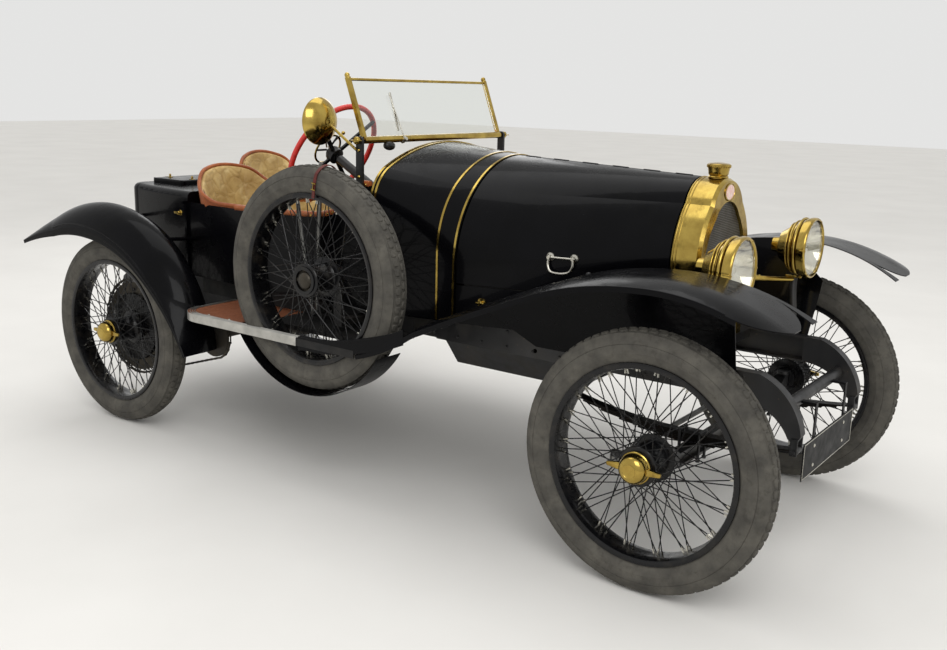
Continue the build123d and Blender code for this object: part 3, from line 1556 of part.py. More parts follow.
# Bare number plate on the front cross member
plate_x = x_front + 345.0
with BuildPart() as number_plate:
    box_between((plate_x, -250, 316), (plate_x + 3, 250, 438))
    for side in (-1, 1):
        box_between((plate_x - 4, side * 150 - 10, 330), (plate_x, side * 150 + 10, 548))
        box_between((x_front + dumb_iron_ahead - 58, side * 150 - 10, 541), (plate_x, side * 150 + 10, 548))
    add(cross_tubes.part, mode=Mode.SUBTRACT)
save(number_plate, "number_plate")
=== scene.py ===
import json
from math import acos, atan2, cos, degrees, pi, radians, sin, sqrt

import bpy
from mathutils import Matrix, Vector


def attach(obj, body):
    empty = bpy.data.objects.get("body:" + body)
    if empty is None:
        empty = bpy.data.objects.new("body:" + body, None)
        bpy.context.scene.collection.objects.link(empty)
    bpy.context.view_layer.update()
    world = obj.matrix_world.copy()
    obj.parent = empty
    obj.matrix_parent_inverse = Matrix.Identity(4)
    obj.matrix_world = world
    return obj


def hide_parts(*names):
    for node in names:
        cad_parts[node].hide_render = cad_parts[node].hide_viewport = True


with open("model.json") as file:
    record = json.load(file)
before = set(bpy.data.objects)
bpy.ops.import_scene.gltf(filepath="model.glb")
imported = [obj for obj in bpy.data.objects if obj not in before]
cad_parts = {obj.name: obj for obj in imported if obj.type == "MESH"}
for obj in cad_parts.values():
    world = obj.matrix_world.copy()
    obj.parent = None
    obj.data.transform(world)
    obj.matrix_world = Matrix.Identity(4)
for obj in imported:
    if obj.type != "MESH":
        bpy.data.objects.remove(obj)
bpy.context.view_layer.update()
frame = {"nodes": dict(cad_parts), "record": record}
nodes = frame["nodes"]
MM = 0.001

# Front axle ahead of the frame's origin, in millimetres
FRONT_AXLE = 1356.25

# Sizes in metres, the same as the solids'
X_FRONT = FRONT_AXLE * MM
X_REAR = -1193.75 * MM
Z_AXLE = 407.5 * MM
Y_WHEEL = 625 * MM
SPARE_PLACE = (X_FRONT - 1320 * MM, -663 * MM, 796 * MM)
CHAIN_Y = 545 * MM
CHAIN_REAR_RADIUS = 210.5 * MM
CHAIN_FRONT_RADIUS = 97.5 * MM
COUNTERSHAFT = (X_FRONT - 2030 * MM, 450 * MM)
LAMP_FRONT = X_FRONT + 127 * MM
LAMP_Y = 323 * MM
LAMP_Z = 958 * MM
STEERING_HUB = Vector((X_FRONT - 1646 * MM, -228 * MM, 1206 * MM))
STEERING_TILT = radians(61)
RAIL_Y = 290 * MM
AHEAD = (1, 0, 0)
SIDES = (("left", 1), ("right", -1))
CORNERS = (
    ("front_left", X_FRONT, 1),
    ("front_right", X_FRONT, -1),
    ("rear_left", X_REAR, 1),
    ("rear_right", X_REAR, -1),
)


def at(behind):
    """X of a station given in millimetres behind the front axle."""
    return X_FRONT - behind * MM


# Modelling helpers
def alone(piece):
    """Makes one piece the only one selected."""
    bpy.ops.object.select_all(action="DESELECT")
    piece.select_set(True)
    bpy.context.view_layer.objects.active = piece


def soften(piece, angle=38):
    """Shades a piece smooth, with its edges kept crisp above an angle."""
    alone(piece)
    bpy.ops.object.shade_smooth_by_angle(angle=radians(angle))
    return piece


def settled(piece):
    """Moves a piece's place, turn and scale into its mesh."""
    alone(piece)
    bpy.ops.object.transform_apply(location=True, rotation=True, scale=True)
    return piece


def modified(piece, kind, **settings):
    """Adds a modifier and applies it."""
    alone(piece)
    modifier = piece.modifiers.new(kind.title(), kind)
    for key, value in settings.items():
        setattr(modifier, key, value)
    bpy.ops.object.modifier_apply(modifier=modifier.name)
    return piece


def line_of(points):
    """Row of joined corners through points, drawn out from one corner of a small plane."""
    bpy.ops.object.select_all(action="DESELECT")
    bpy.ops.mesh.primitive_plane_add(size=MM, location=points[0])
    piece = bpy.context.object
    bpy.ops.object.mode_set(mode="EDIT")
    bpy.ops.mesh.select_mode(type="VERT")
    bpy.ops.mesh.merge(type="CENTER")
    for here, there in zip(points, points[1:]):
        step = Vector(there) - Vector(here)
        bpy.ops.mesh.extrude_vertices_move(TRANSFORM_OT_translate={"value": step})
    bpy.ops.object.mode_set(mode="OBJECT")
    return settled(piece)


def cleaned(piece, tolerance=0.00002):
    """Merges corners that lie together and points all faces outwards."""
    alone(piece)
    bpy.ops.object.mode_set(mode="EDIT")
    bpy.ops.mesh.select_all(action="SELECT")
    bpy.ops.mesh.remove_doubles(threshold=tolerance)
    bpy.ops.mesh.normals_make_consistent(inside=False)
    bpy.ops.object.mode_set(mode="OBJECT")
    return piece


def turned(profile, steps=48, angle=38):
    """Shape turned about Z from points given as radius and height in millimetres."""
    piece = line_of([(radius * MM, 0, height * MM) for radius, height in profile])
    bpy.ops.object.mode_set(mode="EDIT")
    bpy.ops.mesh.select_all(action="SELECT")
    bpy.ops.mesh.spin(steps=steps, angle=2 * pi, center=(0, 0, 0), axis=(0, 0, 1))
    bpy.ops.object.mode_set(mode="OBJECT")
    return soften(cleaned(piece), angle)


def tube(points, radius, closed=False, rounds=2):
    """Round bar that follows points in metres."""
    points = [Vector(point) for point in points]
    if closed:
        points.append(points[0])
    piece = cleaned(line_of(points)) if closed else line_of(points)
    alone(piece)
    bpy.ops.object.convert(target="CURVE")
    piece = bpy.context.object
    piece.data.bevel_depth = radius
    piece.data.bevel_resolution = rounds
    piece.data.use_fill_caps = not closed
    bpy.ops.object.convert(target="MESH")
    return soften(cleaned(bpy.context.object), 50)


def smooth_line(points, count):
    """Points along a smooth curve through the given ones."""
    points = [Vector(point) for point in points]
    ends = [2 * points[0] - points[1], *points, 2 * points[-1] - points[-2]]
    found = []
    spans = len(points) - 1
    for index in range(count + 1):
        place = min(index / count * spans, spans - 1e-6)
        first = int(place)
        t = place - first
        a, b, c, d = ends[first:first + 4]
        found.append(0.5 * (2 * b + (c - a) * t + (2 * a - 5 * b + 4 * c - d) * t * t
                            + (3 * b - a - 3 * c + d) * t * t * t))
    return found


def block(low, high, edge, rounds=2):
    """Bar or plate with rounded edges between two corners, in metres."""
    low, high = Vector(low), Vector(high)
    bpy.ops.object.select_all(action="DESELECT")
    bpy.ops.mesh.primitive_cube_add(size=1, location=(low + high) / 2, scale=high - low)
    piece = settled(bpy.context.object)
    modified(piece, "BEVEL", width=edge, segments=rounds, limit_method="ANGLE")
    return soften(piece)


def band(points, depth, width):
    """Strip that follows points, with a depth and a width, each a direction in metres."""
    piece = line_of(points)
    bpy.ops.object.mode_set(mode="EDIT")
    bpy.ops.mesh.select_all(action="SELECT")
    bpy.ops.mesh.extrude_edges_move(TRANSFORM_OT_translate={"value": Vector(depth)})
    bpy.ops.mesh.select_all(action="SELECT")
    bpy.ops.mesh.extrude_region_move(TRANSFORM_OT_translate={"value": Vector(width)})
    bpy.ops.object.mode_set(mode="OBJECT")
    return soften(cleaned(piece))


def bar(start, end, radius, sides=12, edge=0.0):
    """Round rod between two points."""
    start, end = Vector(start), Vector(end)
    run = end - start
    turn = Vector((0, 0, 1)).rotation_difference(run).to_euler()
    bpy.ops.object.select_all(action="DESELECT")
    bpy.ops.mesh.primitive_cylinder_add(
        vertices=sides, radius=radius, depth=run.length, location=(start + end) / 2, rotation=turn
    )
    piece = settled(bpy.context.object)
    if edge:
        modified(piece, "BEVEL", width=edge, segments=2, limit_method="ANGLE")
    return soften(piece)


def reshaped(piece, test, scale=(1, 1, 1), move=(0, 0, 0), centre=(0, 0, 0)):
    """Scales and moves the corners of a piece that a test picks by their place."""
    alone(piece)
    bpy.ops.object.mode_set(mode="EDIT")
    bpy.ops.mesh.select_mode(type="VERT")
    bpy.ops.mesh.select_all(action="DESELECT")
    bpy.ops.object.mode_set(mode="OBJECT")
    for corner in piece.data.vertices:
        corner.select = test(corner.co)
    bpy.ops.object.mode_set(mode="EDIT")
    bpy.ops.transform.resize(value=scale, center_override=centre)
    bpy.ops.transform.translate(value=move)
    bpy.ops.object.mode_set(mode="OBJECT")
    return piece


def copied(piece, matrix):
    """Copy of a piece with its own mesh, put in another place."""
    double = piece.copy()
    double.data = piece.data.copy()
    double.data.transform(matrix)
    bpy.context.scene.collection.objects.link(double)
    return double


def joined(pieces):
    """Joins pieces into the first of them."""
    alone(pieces[0])
    for piece in pieces[1:]:
        piece.select_set(True)
    bpy.ops.object.join()
    return bpy.context.object


def round_copies(piece, count, start=0.0):
    """A ring of copies about Z, joined, with the first turned by an angle."""
    ring = [copied(piece, Matrix.Rotation(start + 2 * pi * index / count, 4, "Z")) for index in range(count)]
    bpy.data.objects.remove(piece)
    return joined(ring)


def wheel_place(place, side):
    """Matrix that stands a wheel-like piece, turned about Z, on its axle with its face outwards."""
    return Matrix.Translation(place) @ Matrix.Rotation(-side * pi / 2, 4, "X")


def aimed(place, direction):
    """Matrix that puts a piece at a place with its Z axis along a direction."""
    turn = Vector((0, 0, 1)).rotation_difference(Vector(direction))
    return Matrix.Translation(place) @ turn.to_matrix().to_4x4()


def fitted(piece, name, body, material, stands_for=()):
    """Names a finished piece, paints it and fixes it to the body that it rides on."""
    piece.name = name
    piece.data.name = name
    piece.data.materials.clear()
    piece.data.materials.append(material)
    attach(piece, body)
    if stands_for:
        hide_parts(*stands_for)
    return piece


# Material helpers
def linear(colour):
    """Linear red, green, blue and alpha of an sRGB hex colour."""
    parts = [int(colour[index:index + 2], 16) / 255 for index in (1, 3, 5)]
    return [part / 12.92 if part <= 0.04045 else ((part + 0.055) / 1.055) ** 2.4 for part in parts] + [1.0]


def add_node(material, kind, links=None, **settings):
    """Adds a node with its settings and its linked or fixed inputs."""
    node = material.node_tree.nodes.new(kind)
    for key, value in settings.items():
        setattr(node, key, value)
    for socket, value in (links or {}).items():
        if isinstance(value, bpy.types.NodeSocket):
            material.node_tree.links.new(value, node.inputs[socket])
        else:
            node.inputs[socket].default_value = value
    return node


def new_material(name, **shader_values):
    """Empty node material with a Principled shader and its fixed values."""
    material = bpy.data.materials.new(name)
    material.use_nodes = True
    shader = material.node_tree.nodes["Principled BSDF"]
    for socket, value in shader_values.items():
        shader.inputs[socket.replace("_", " ").title().replace("Ior", "IOR")].default_value = value
    return material, shader


def linked(material, start, shader, socket):
    """Links a node's output to one of the shader's inputs."""
    material.node_tree.links.new(start, shader.inputs[socket])


def noise(material, size_mm, detail=4.0, stretch=(1, 1, 1), roughness=0.55):
    """Noise on object coordinates whose blotches are about a size in millimetres."""
    place = add_node(material, "ShaderNodeTexCoord").outputs["Object"]
    scaled = add_node(material, "ShaderNodeMapping", {"Vector": place, "Scale": stretch})
    return add_node(material, "ShaderNodeTexNoise", {
        "Vector": scaled.outputs["Vector"], "Scale": 1000 / size_mm, "Detail": detail, "Roughness": roughness,
    }).outputs["Fac"]


def graded(material, fac, low, high, start=0.3, end=0.7):
    """Turns a pattern into a value between two others."""
    return add_node(material, "ShaderNodeMapRange", {
        "Value": fac, "From Min": start, "From Max": end, "To Min": low, "To Max": high,
    }).outputs["Result"]


def bumped(material, shader, height, strength, depth_mm, under=None):
    """Puts a pattern on the surface as relief of a depth in millimetres."""
    links = {"Height": height, "Strength": strength, "Distance": depth_mm * MM}
    if under:
        links["Normal"] = under
    relief = add_node(material, "ShaderNodeBump", links).outputs["Normal"]
    linked(material, relief, shader, "Normal")
    return relief


def mixed(material, fac, first, second):
    """Colour between two others, each a hex value or a socket."""
    node = add_node(material, "ShaderNodeMix", data_type="RGBA")
    for index, value in ((0, fac), (6, first), (7, second)):
        if isinstance(value, bpy.types.NodeSocket):
            material.node_tree.links.new(value, node.inputs[index])
        else:
            node.inputs[index].default_value = linear(value) if isinstance(value, str) else value
    return node.outputs[2]


def roughened(material, shader, pattern, low, high, start=0.3, end=0.7):
    """Lets a pattern set the roughness between two values."""
    linked(material, graded(material, pattern, low, high, start, end), shader, "Roughness")


def upward_dust(material, amount):
    """Share of dust that settles on faces that look up, broken by noise."""
    normal = add_node(material, "ShaderNodeNewGeometry").outputs["Normal"]
    height = add_node(material, "ShaderNodeSeparateXYZ", {"Vector": normal}).outputs["Z"]
    facing = graded(material, height, 0.0, 1.0, 0.2, 1.0)
    patchy = graded(material, noise(material, 160, 5), 0.3, 1.0)
    both = add_node(material, "ShaderNodeMath", {0: facing, 1: patchy}, operation="MULTIPLY").outputs[0]
    return add_node(material, "ShaderNodeMath", {0: both, 1: amount}, operation="MULTIPLY").outputs[0]


# Materials
def coach_lacquer():
    """Hand-flatted black lacquer: deep blue-black gloss, faint haze, and a little dust on the upper faces."""
    material, shader = new_material("black_coach_lacquer", coat_weight=0.1, coat_roughness=0.05,
                                    specular_ior_level=0.06)
    shade = mixed(material, graded(material, noise(material, 240, 3), 0, 1), "#030304", "#07070a")
    colour = mixed(material, upward_dust(material, 0.006), shade, "#8a8880")
    linked(material, colour, shader, "Base Color")
    roughened(material, shader, noise(material, 90, 6), 0.16, 0.32)
    bumped(material, shader, noise(material, 9, 2), 0.2, 0.04)
    return material


def chassis_enamel():
    """Brushed black enamel on the frame: half gloss, brown road film and small chips."""
    material, shader = new_material("black_chassis_enamel")
    shade = mixed(material, graded(material, noise(material, 120, 5), 0, 1, 0.45, 0.75), "#101012", "#2a2620")
    chips = graded(material, noise(material, 14, 3), 0, 1, 0.70, 0.74)
    linked(material, mixed(material, chips, shade, "#4a3a2c"), shader, "Base Color")
    roughened(material, shader, noise(material, 60, 5), 0.28, 0.55)
    bumped(material, shader, noise(material, 6, 3), 0.35, 0.15)
    return material


def polished_brass():
    """Hand-polished yellow brass: warm mirror gloss, brown tarnish in soft patches, fine rub marks."""
    material, shader = new_material("polished_brass", metallic=1.0)
    tone = mixed(material, graded(material, noise(material, 70, 5), 0, 1), "#c0a656", "#93793a")
    tarnish = graded(material, noise(material, 38, 6, roughness=0.7), 0, 0.65, 0.56, 0.78)
    linked(material, mixed(material, tarnish, tone, "#4a3c18"), shader, "Base Color")
    roughened(material, shader, noise(material, 24, 6), 0.10, 0.25)
    bumped(material, shader, noise(material, 7, 3, stretch=(1, 7, 1)), 0.2, 0.04)
    return material


def wheel_enamel():
    """Stoved black enamel on rims and hubs: glossy, with brown dust in patches."""
    material, shader = new_material("black_wheel_enamel", coat_weight=0.25, coat_roughness=0.08,
                                    specular_ior_level=0.2)
    dusty = graded(material, noise(material, 45, 5), 0, 0.7, 0.5, 0.8)
    linked(material, mixed(material, dusty, "#08080a", "#2c2822"), shader, "Base Color")
    roughened(material, shader, noise(material, 20, 5), 0.2, 0.42)
    bumped(material, shader, noise(material, 5, 2), 0.2, 0.08)
    return material


def weathered_tyre():
    """Old grey rubber: dry beige-grey skin, darker stains in patches, fine cracks and dust."""
    material, shader = new_material("weathered_grey_rubber", specular_ior_level=0.3)
    skin = mixed(material, graded(material, noise(material, 60, 6), 0, 1), "#3f3d39", "#59564f")
    stains = graded(material, noise(material, 22, 6, roughness=0.7), 0, 0.7, 0.52, 0.75)
    linked(material, mixed(material, stains, skin, "#33302b"), shader, "Base Color")
    roughened(material, shader, noise(material, 12, 4), 0.72, 0.95)
    grit = bumped(material, shader, noise(material, 1.6, 3), 0.4, 0.25)
    bumped(material, shader, noise(material, 16, 5, roughness=0.75), 0.35, 0.8, grit)
    return material


def clear_glass(name, tint):
    """Old flat glass: clear with a faint tint and a film of dust."""
    material, shader = new_material(name, transmission_weight=1.0, ior=1.5)
    shader.inputs["Base Color"].default_value = linear(tint)
    roughened(material, shader, noise(material, 40, 5), 0.0, 0.06, 0.45, 0.8)
    bumped(material, shader, noise(material, 120, 1), 0.1, 0.1)
    return material


def honeycomb():
    """Radiator core of hexagon tubes in tinned brass: grey cells about 6 mm across, their throats darkened by
    painted shade.
    """
    material, shader = new_material("tinned_honeycomb_core", metallic=0.8)
    place = add_node(material, "ShaderNodeTexCoord").outputs["Object"]
    parts = add_node(material, "ShaderNodeSeparateXYZ", {"Vector": place}).outputs
    flat = add_node(material, "ShaderNodeCombineXYZ", {"X": parts["Y"], "Y": parts["Z"], "Z": 0.0}).outputs[0]
    cells = add_node(material, "ShaderNodeTexVoronoi", {"Vector": flat, "Scale": 170.0, "Randomness": 0.1},
                     feature="DISTANCE_TO_EDGE", voronoi_dimensions="2D").outputs["Distance"]
    # painted shade: wall is 1 on the cell walls and 0 in the cell centres, where the dark #33322f stands in
    # for the shade inside the tubes
    wall = graded(material, cells, 1.0, 0.0, 0.05, 0.22)
    tone = mixed(material, graded(material, noise(material, 60, 5), 0, 1), "#8f8f8c", "#6f6a62")
    linked(material, mixed(material, wall, "#33322f", tone), shader, "Base Color")
    roughened(material, shader, wall, 0.8, 0.42, 0.0, 1.0)
    bumped(material, shader, wall, 0.6, 1.2)
    return material


def worn_steel(name, dark, pale, low, high):
    """Bare machined steel or dull nickel: grey metal with rub marks and brown spots."""
    material, shader = new_material(name, metallic=1.0)
    tone = mixed(material, graded(material, noise(material, 50, 5), 0, 1), dark, pale)
    rust = graded(material, noise(material, 16, 6, roughness=0.7), 0, 0.6, 0.6, 0.8)
    linked(material, mixed(material, rust, tone, "#5b3f2a"), shader, "Base Color")
    roughened(material, shader, noise(material, 10, 5), low, high)
    bumped(material, shader, noise(material, 4, 3, stretch=(1, 5, 1)), 0.25, 0.06)
    return material


def cast_iron():
    """Sand-cast iron under old oil: dark brown-grey, coarse skin."""
    material, shader = new_material("oily_cast_iron", metallic=0.4)
    linked(material, mixed(material, graded(material, noise(material, 70, 6), 0, 1), "#26231f", "#3d372f"),
           shader, "Base Color")
    roughened(material, shader, noise(material, 30, 4), 0.4, 0.7)
    bumped(material, shader, noise(material, 2.5, 4), 0.7, 0.5)
    return material


def leather(name, dark, pale, crease_mm, relief_mm, roughness, worn=None):
    """Vegetable-tanned hide: fine grain, creases of a size with painted shade darkening them, and colour
    rubbed paler in patches.
    """
    material, shader = new_material(name, sheen_weight=0.03, specular_ior_level=0.35)
    tone = mixed(material, graded(material, noise(material, 130, 5), 0, 1, 0.32, 0.68), dark, pale)
    place = add_node(material, "ShaderNodeTexCoord").outputs["Object"]
    bend = add_node(material, "ShaderNodeTexNoise", {"Vector": place, "Scale": 9.0, "Detail": 3.0})
    pushed = add_node(material, "ShaderNodeVectorMath", {0: bend.outputs["Color"], 1: (0.05, 0.05, 0.05)},
                      operation="MULTIPLY")
    moved = add_node(material, "ShaderNodeVectorMath", {0: place, 1: pushed.outputs[0]}, operation="ADD")
    cells = {"Vector": moved.outputs[0], "Scale": 1000 / crease_mm}
    folds = add_node(material, "ShaderNodeTexVoronoi", cells, feature="DISTANCE_TO_EDGE").outputs["Distance"]
    # painted shade: the crease lines are darkened towards the dark hide colour as shade in the folds
    crease_shade_mask = graded(material, folds, 1.0, 0.0, 0.0, 0.14)
    crease_shaded_tone = mixed(material, graded(material, crease_shade_mask, 0.0, 0.45, 0.2, 1.0), tone, dark)
    rubbed = graded(material, noise(material, 55, 6), 0, 0.5, 0.55, 0.75)
    linked(material, mixed(material, rubbed, crease_shaded_tone, worn or pale), shader, "Base Color")
    roughened(material, shader, noise(material, 30, 4), roughness - 0.08, roughness + 0.1)
    grain = bumped(material, shader, noise(material, 2.2, 3), 0.35, 0.25)
    soft = bumped(material, shader, noise(material, 48, 4), 0.5, relief_mm * 2, grain)
    bumped(material, shader, graded(material, folds, 0.0, 1.0, 0.0, 0.2), 0.6, relief_mm, soft)
    return material


def varnished_wood(name, dark, pale, gloss, along=(1, 12, 12), grain_mm=60):
    """Varnished hardwood: long grain lines, darker pores, worn varnish."""
    material, shader = new_material(name, coat_weight=gloss, coat_roughness=0.15)
    lines = noise(material, grain_mm, 7, stretch=along, roughness=0.65)
    linked(material, mixed(material, graded(material, lines, 0, 1), dark, pale), shader, "Base Color")
    roughened(material, shader, noise(material, 40, 4), 0.35, 0.6)
    bumped(material, shader, lines, 0.4, 0.3)
    return material


def board_covering(bare_ahead):
    """Brown linoleum on the boards' upper faces behind a station, rubbed and dusty, on black painted wood."""
    material, shader = new_material("brown_board_linoleum", specular_ior_level=0.3)
    normal = add_node(material, "ShaderNodeNewGeometry").outputs["Normal"]
    height = add_node(material, "ShaderNodeSeparateXYZ", {"Vector": normal}).outputs["Z"]
    facing = graded(material, height, 0.0, 1.0, 0.6, 0.7)
    place = add_node(material, "ShaderNodeTexCoord").outputs["Object"]
    station = add_node(material, "ShaderNodeSeparateXYZ", {"Vector": place}).outputs["X"]
    behind = graded(material, station, 1.0, 0.0, bare_ahead - 2 * MM, bare_ahead + 2 * MM)
    covered = add_node(material, "ShaderNodeMath", {0: facing, 1: behind}, operation="MULTIPLY").outputs[0]
    lines = noise(material, 40, 7, stretch=(6, 6, 6), roughness=0.65)
    brown = mixed(material, graded(material, lines, 0, 1), "#5f3420", "#855033")
    black = mixed(material, graded(material, noise(material, 60, 4), 0, 1), "#0b0b0c", "#1b1917")
    linked(material, mixed(material, covered, black, brown), shader, "Base Color")
    roughened(material, shader, noise(material, 40, 4), 0.45, 0.7)
    bumped(material, shader, lines, 0.35, 0.3)
    return material


def red_binding():
    """Red dyed binding on the steering rim: satin with dark hand wear and a fine wound texture."""
    material, shader = new_material("red_rim_binding", coat_weight=0.25, coat_roughness=0.3)
    worn = graded(material, noise(material, 26, 5), 0, 0.6, 0.55, 0.75)
    linked(material, mixed(material, worn, "#cf2a21", "#7a1713"), shader, "Base Color")
    roughened(material, shader, noise(material, 18, 4), 0.35, 0.55)
    bumped(material, shader, noise(material, 3, 2, stretch=(1, 4, 1)), 0.4, 0.2)
    return material


def satin_black(name, shade="#151516"):
    """Satin black japanning on small ironwork, rubbed grey in places."""
    material, shader = new_material(name, metallic=0.2)
    worn = graded(material, noise(material, 15, 5), 0, 0.5, 0.6, 0.8)
    linked(material, mixed(material, worn, shade, "#4c4a47"), shader, "Base Color")
    roughened(material, shader, noise(material, 12, 4), 0.3, 0.5)
    bumped(material, shader, noise(material, 3, 2), 0.2, 0.08)
    return material


def plate_enamel():
    """Smooth black enamel of the bare number plate, faintly uneven."""
    material, shader = new_material("blank_plate_enamel", specular_ior_level=0.12)
    linked(material, mixed(material, graded(material, noise(material, 80, 3), 0, 1), "#0a0a0b", "#121214"),
           shader, "Base Color")
    roughened(material, shader, noise(material, 40, 3), 0.4, 0.55)
    return material


def mirror_silver():
    """Silvered reflector: near-white metal, faintly clouded."""
    material, shader = new_material("silvered_reflector", metallic=1.0)
    cloud = graded(material, noise(material, 25, 4), 0, 1)
    linked(material, mixed(material, cloud, "#e6e4dd", "#c9c4b6"), shader, "Base Color")
    roughened(material, shader, cloud, 0.05, 0.16, 0, 1)
    return material


def stove_enamel(name, pale, aged):
    """Stove-fired enamel: smooth pale glass over metal, faintly clouded with age."""
    material, shader = new_material(name, coat_weight=0.5, coat_roughness=0.05)
    linked(material, mixed(material, graded(material, noise(material, 12, 4), 0, 1), pale, aged),
           shader, "Base Color")
    roughened(material, shader, noise(material, 6, 3), 0.25, 0.4)
    return material


lacquer = coach_lacquer()
enamel = chassis_enamel()
brass = polished_brass()
wheel_black = wheel_enamel()
rubber = weathered_tyre()
screen_glass = clear_glass("screen_glass", "#f6f8f4")
lamp_glass = clear_glass("lamp_glass", "#f6f6f0")
core_grey = honeycomb()
steel = worn_steel("satin_steel", "#6e6e6c", "#8b8a86", 0.3, 0.5)
bright_nickel = worn_steel("bright_nickel", "#a9a69d", "#c9c6bb", 0.18, 0.34)
chain_steel = worn_steel("oiled_chain_steel", "#3b3833", "#58534a", 0.35, 0.6)
spring_steel = worn_steel("painted_spring_leaves", "#1b1a19", "#2d2a27", 0.4, 0.6)
aluminium = worn_steel("rubbed_aluminium", "#a8a7a2", "#c4c2bc", 0.3, 0.48)
iron = cast_iron()
gold_hide = leather("creased_golden_hide", "#94753f", "#cdb073", 56, 2.8, 0.46, "#dcc692")
tan_hide = leather("rolled_tan_hide", "#7a3c17", "#a95c28", 26, 0.8, 0.42, "#bd7a42")
strap_hide = leather("dark_red_strap_hide", "#3c120f", "#5e1f18", 18, 0.4, 0.5)
board_wood = board_covering(at(1640))
dash_wood = varnished_wood("varnished_dash_mahogany", "#3a170b", "#6b2f17", 0.8, (12, 1, 12), 80)
rim_red = red_binding()
japan_black = satin_black("japanned_ironwork")
plate_black = plate_enamel()
silver = mirror_silver()
dial_white = stove_enamel("white_enamel_dial", "#e9e3cf", "#d8cfb4")
black_felt = leather("oiled_black_felt", "#0d0c0b", "#1c1a18", 8, 0.3, 0.8)
badge_rose = stove_enamel("bare_rose_badge_enamel", "#f2ded6", "#e2a795")

CAD_LOOKS = {
    "coachwork": lacquer,
    "chassis_paint": enamel,
    "brass": brass,
    "wheel_paint": wheel_black,
    "tyre": rubber,
    "glass": screen_glass,
    "core": core_grey,
    "steel": steel,
    "iron": iron,
    "dash_wood": dash_wood,
    "red_rim": rim_red,
    "spokes_black": japan_black,
    "seat_leather": gold_hide,
    "boards": board_wood,
}
NODE_LOOKS = {"lamp_lenses": lamp_glass, "number_plate": plate_black, "windscreen_posts": japan_black}


def paint_solids():
    """Gives every CAD node the material of its slot in the record, or its own."""
    slots = {part["node"]: part["material_slot"] for part in frame["record"]["subparts"]}
    for name, node in nodes.items():
        look = NODE_LOOKS.get(name, CAD_LOOKS[slots[name]])
        for place in node.material_slots:
            place.material = look


paint_solids()


# Tyres: one carcass with ridges and two rows of tread blocks, copied to five places
TYRE_SIDE = (
    (301.7, 31), (306, 35), (312, 38.6), (320, 43), (330, 47.4), (336, 49.6), (339, 50.8), (342, 50.6),
    (352, 51.9), (360, 51.6), (364, 50.6), (365.5, 48.8), (367, 50.2), (374, 48.4), (381, 45.6),
    (387, 42.4), (391, 39.6), (394.5, 37.4), (397.4, 35.6), (398.2, 33.2), (397.4, 31.2), (395.6, 29.6),
    (398.4, 24), (400.6, 16), (401.8, 8),
)
TREAD_COUNT = 78
TREAD_HALF_LENGTH = 12.6 * MM
TREAD_HALF_WIDTH = 9.4 * MM
CROWN_RADIUS = 54.2
TYRE_RADIUS = 407.3
TREAD_OFFSET = 14.2
TREAD_SUNK = 4.0


def tyre_shape():
    """Tyre with its axle along Z."""
    profile = list(TYRE_SIDE) + [(402.2, 0)] + [(radius, -height) for radius, height in reversed(TYRE_SIDE)]
    rows = [turned(profile + [(301.7, 0), profile[0]], steps=112, angle=25)]
    for side in (1, -1):
        lean = side * TREAD_OFFSET / CROWN_RADIUS
        centre = TYRE_RADIUS - CROWN_RADIUS + CROWN_RADIUS * cos(lean) - TREAD_SUNK
        blank = block((-4.2 * MM, -TREAD_HALF_LENGTH, -TREAD_HALF_WIDTH),
                      (3.5 * MM, TREAD_HALF_LENGTH, TREAD_HALF_WIDTH), 3.0 * MM, 1)
        stand = Matrix.Translation((centre * MM, 0, side * TREAD_OFFSET * MM))
        blank.data.transform(stand @ Matrix.Rotation(-lean, 4, "Y"))
        rows.append(round_copies(blank, TREAD_COUNT, side * pi / TREAD_COUNT / 2))
    return joined(rows)


# Wire wheels: rim, hub, four rows of spokes and their nipples
RIM_PROFILE = (
    (292, -41), (297, -43.4), (305, -44), (309.6, -43), (310.6, -41), (309, -39.4), (303, -38.8),
    (301.6, -37), (300.6, -20), (301.4, 0), (300.6, 20), (301.6, 37), (303, 38.8), (309, 39.4), (310.6, 41),
    (309.6, 43), (305, 44), (297, 43.4), (292, 41), (288.6, 30), (287.4, 14), (289, 0), (287.4, -14),
    (288.6, -30), (292, -41),
)
HUB_PROFILE = (
    (38.5, -59.5), (50, -59.5), (51, -57), (51, -54.5), (72, -53.5), (74, -51), (74, -48), (72, -46.5),
    (56, -44), (44, -30), (42.5, 0), (44, 30), (52, 44), (60, 46.5), (62, 48), (62, 51), (60, 53.5),
    (51, 54.5), (51, 57), (50, 59.5), (38.5, 59.5), (38.5, -59.5),
)
# Columns: flange radius, height at the hub, height at the rim, lead in degrees, count, first angle
SPOKE_ROWS = (
    (57.5, 49.5, 14, 44, 18, 0), (57.5, 49.5, 6, -44, 18, 10), (68.5, -49.5, -8, 54, 18, 5),
    (68.5, -49.5, -16, -54, 18, 15),
)
SPOKE_REACH = 289
SPOKE_RADIUS = 1.9 * MM
NIPPLE_RADIUS = 3.6 * MM


def spoke_shape(row):
    """One spoke and its nipple for a row."""
    flange, low, high, lead = row[:4]
    start = Vector((flange * MM, 0, low * MM))
    end = Vector((SPOKE_REACH * cos(radians(lead)) * MM, SPOKE_REACH * sin(radians(lead)) * MM, high * MM))
    along = (end - start).normalized()
    head = bar(start - along * 1 * MM, start + along * 3 * MM, SPOKE_RADIUS * 1.8, 6)
    return joined([bar(start, end, SPOKE_RADIUS, 6), head]), bar(end - along * 17 * MM, end, NIPPLE_RADIUS, 6)


def wheel_shapes():
    """Rim and hub with their spokes, and the nipples, each one mesh with its axle along Z."""
    bodies = [turned(RIM_PROFILE, steps=96, angle=40), turned(HUB_PROFILE, steps=40)]
    nipples = []
    for row in SPOKE_ROWS:
        wire, nipple = spoke_shape(row)
        bodies.append(round_copies(wire, row[4], radians(row[5])))
        nipples.append(round_copies(nipple, row[4], radians(row[5])))
    return joined(bodies), joined(nipples)


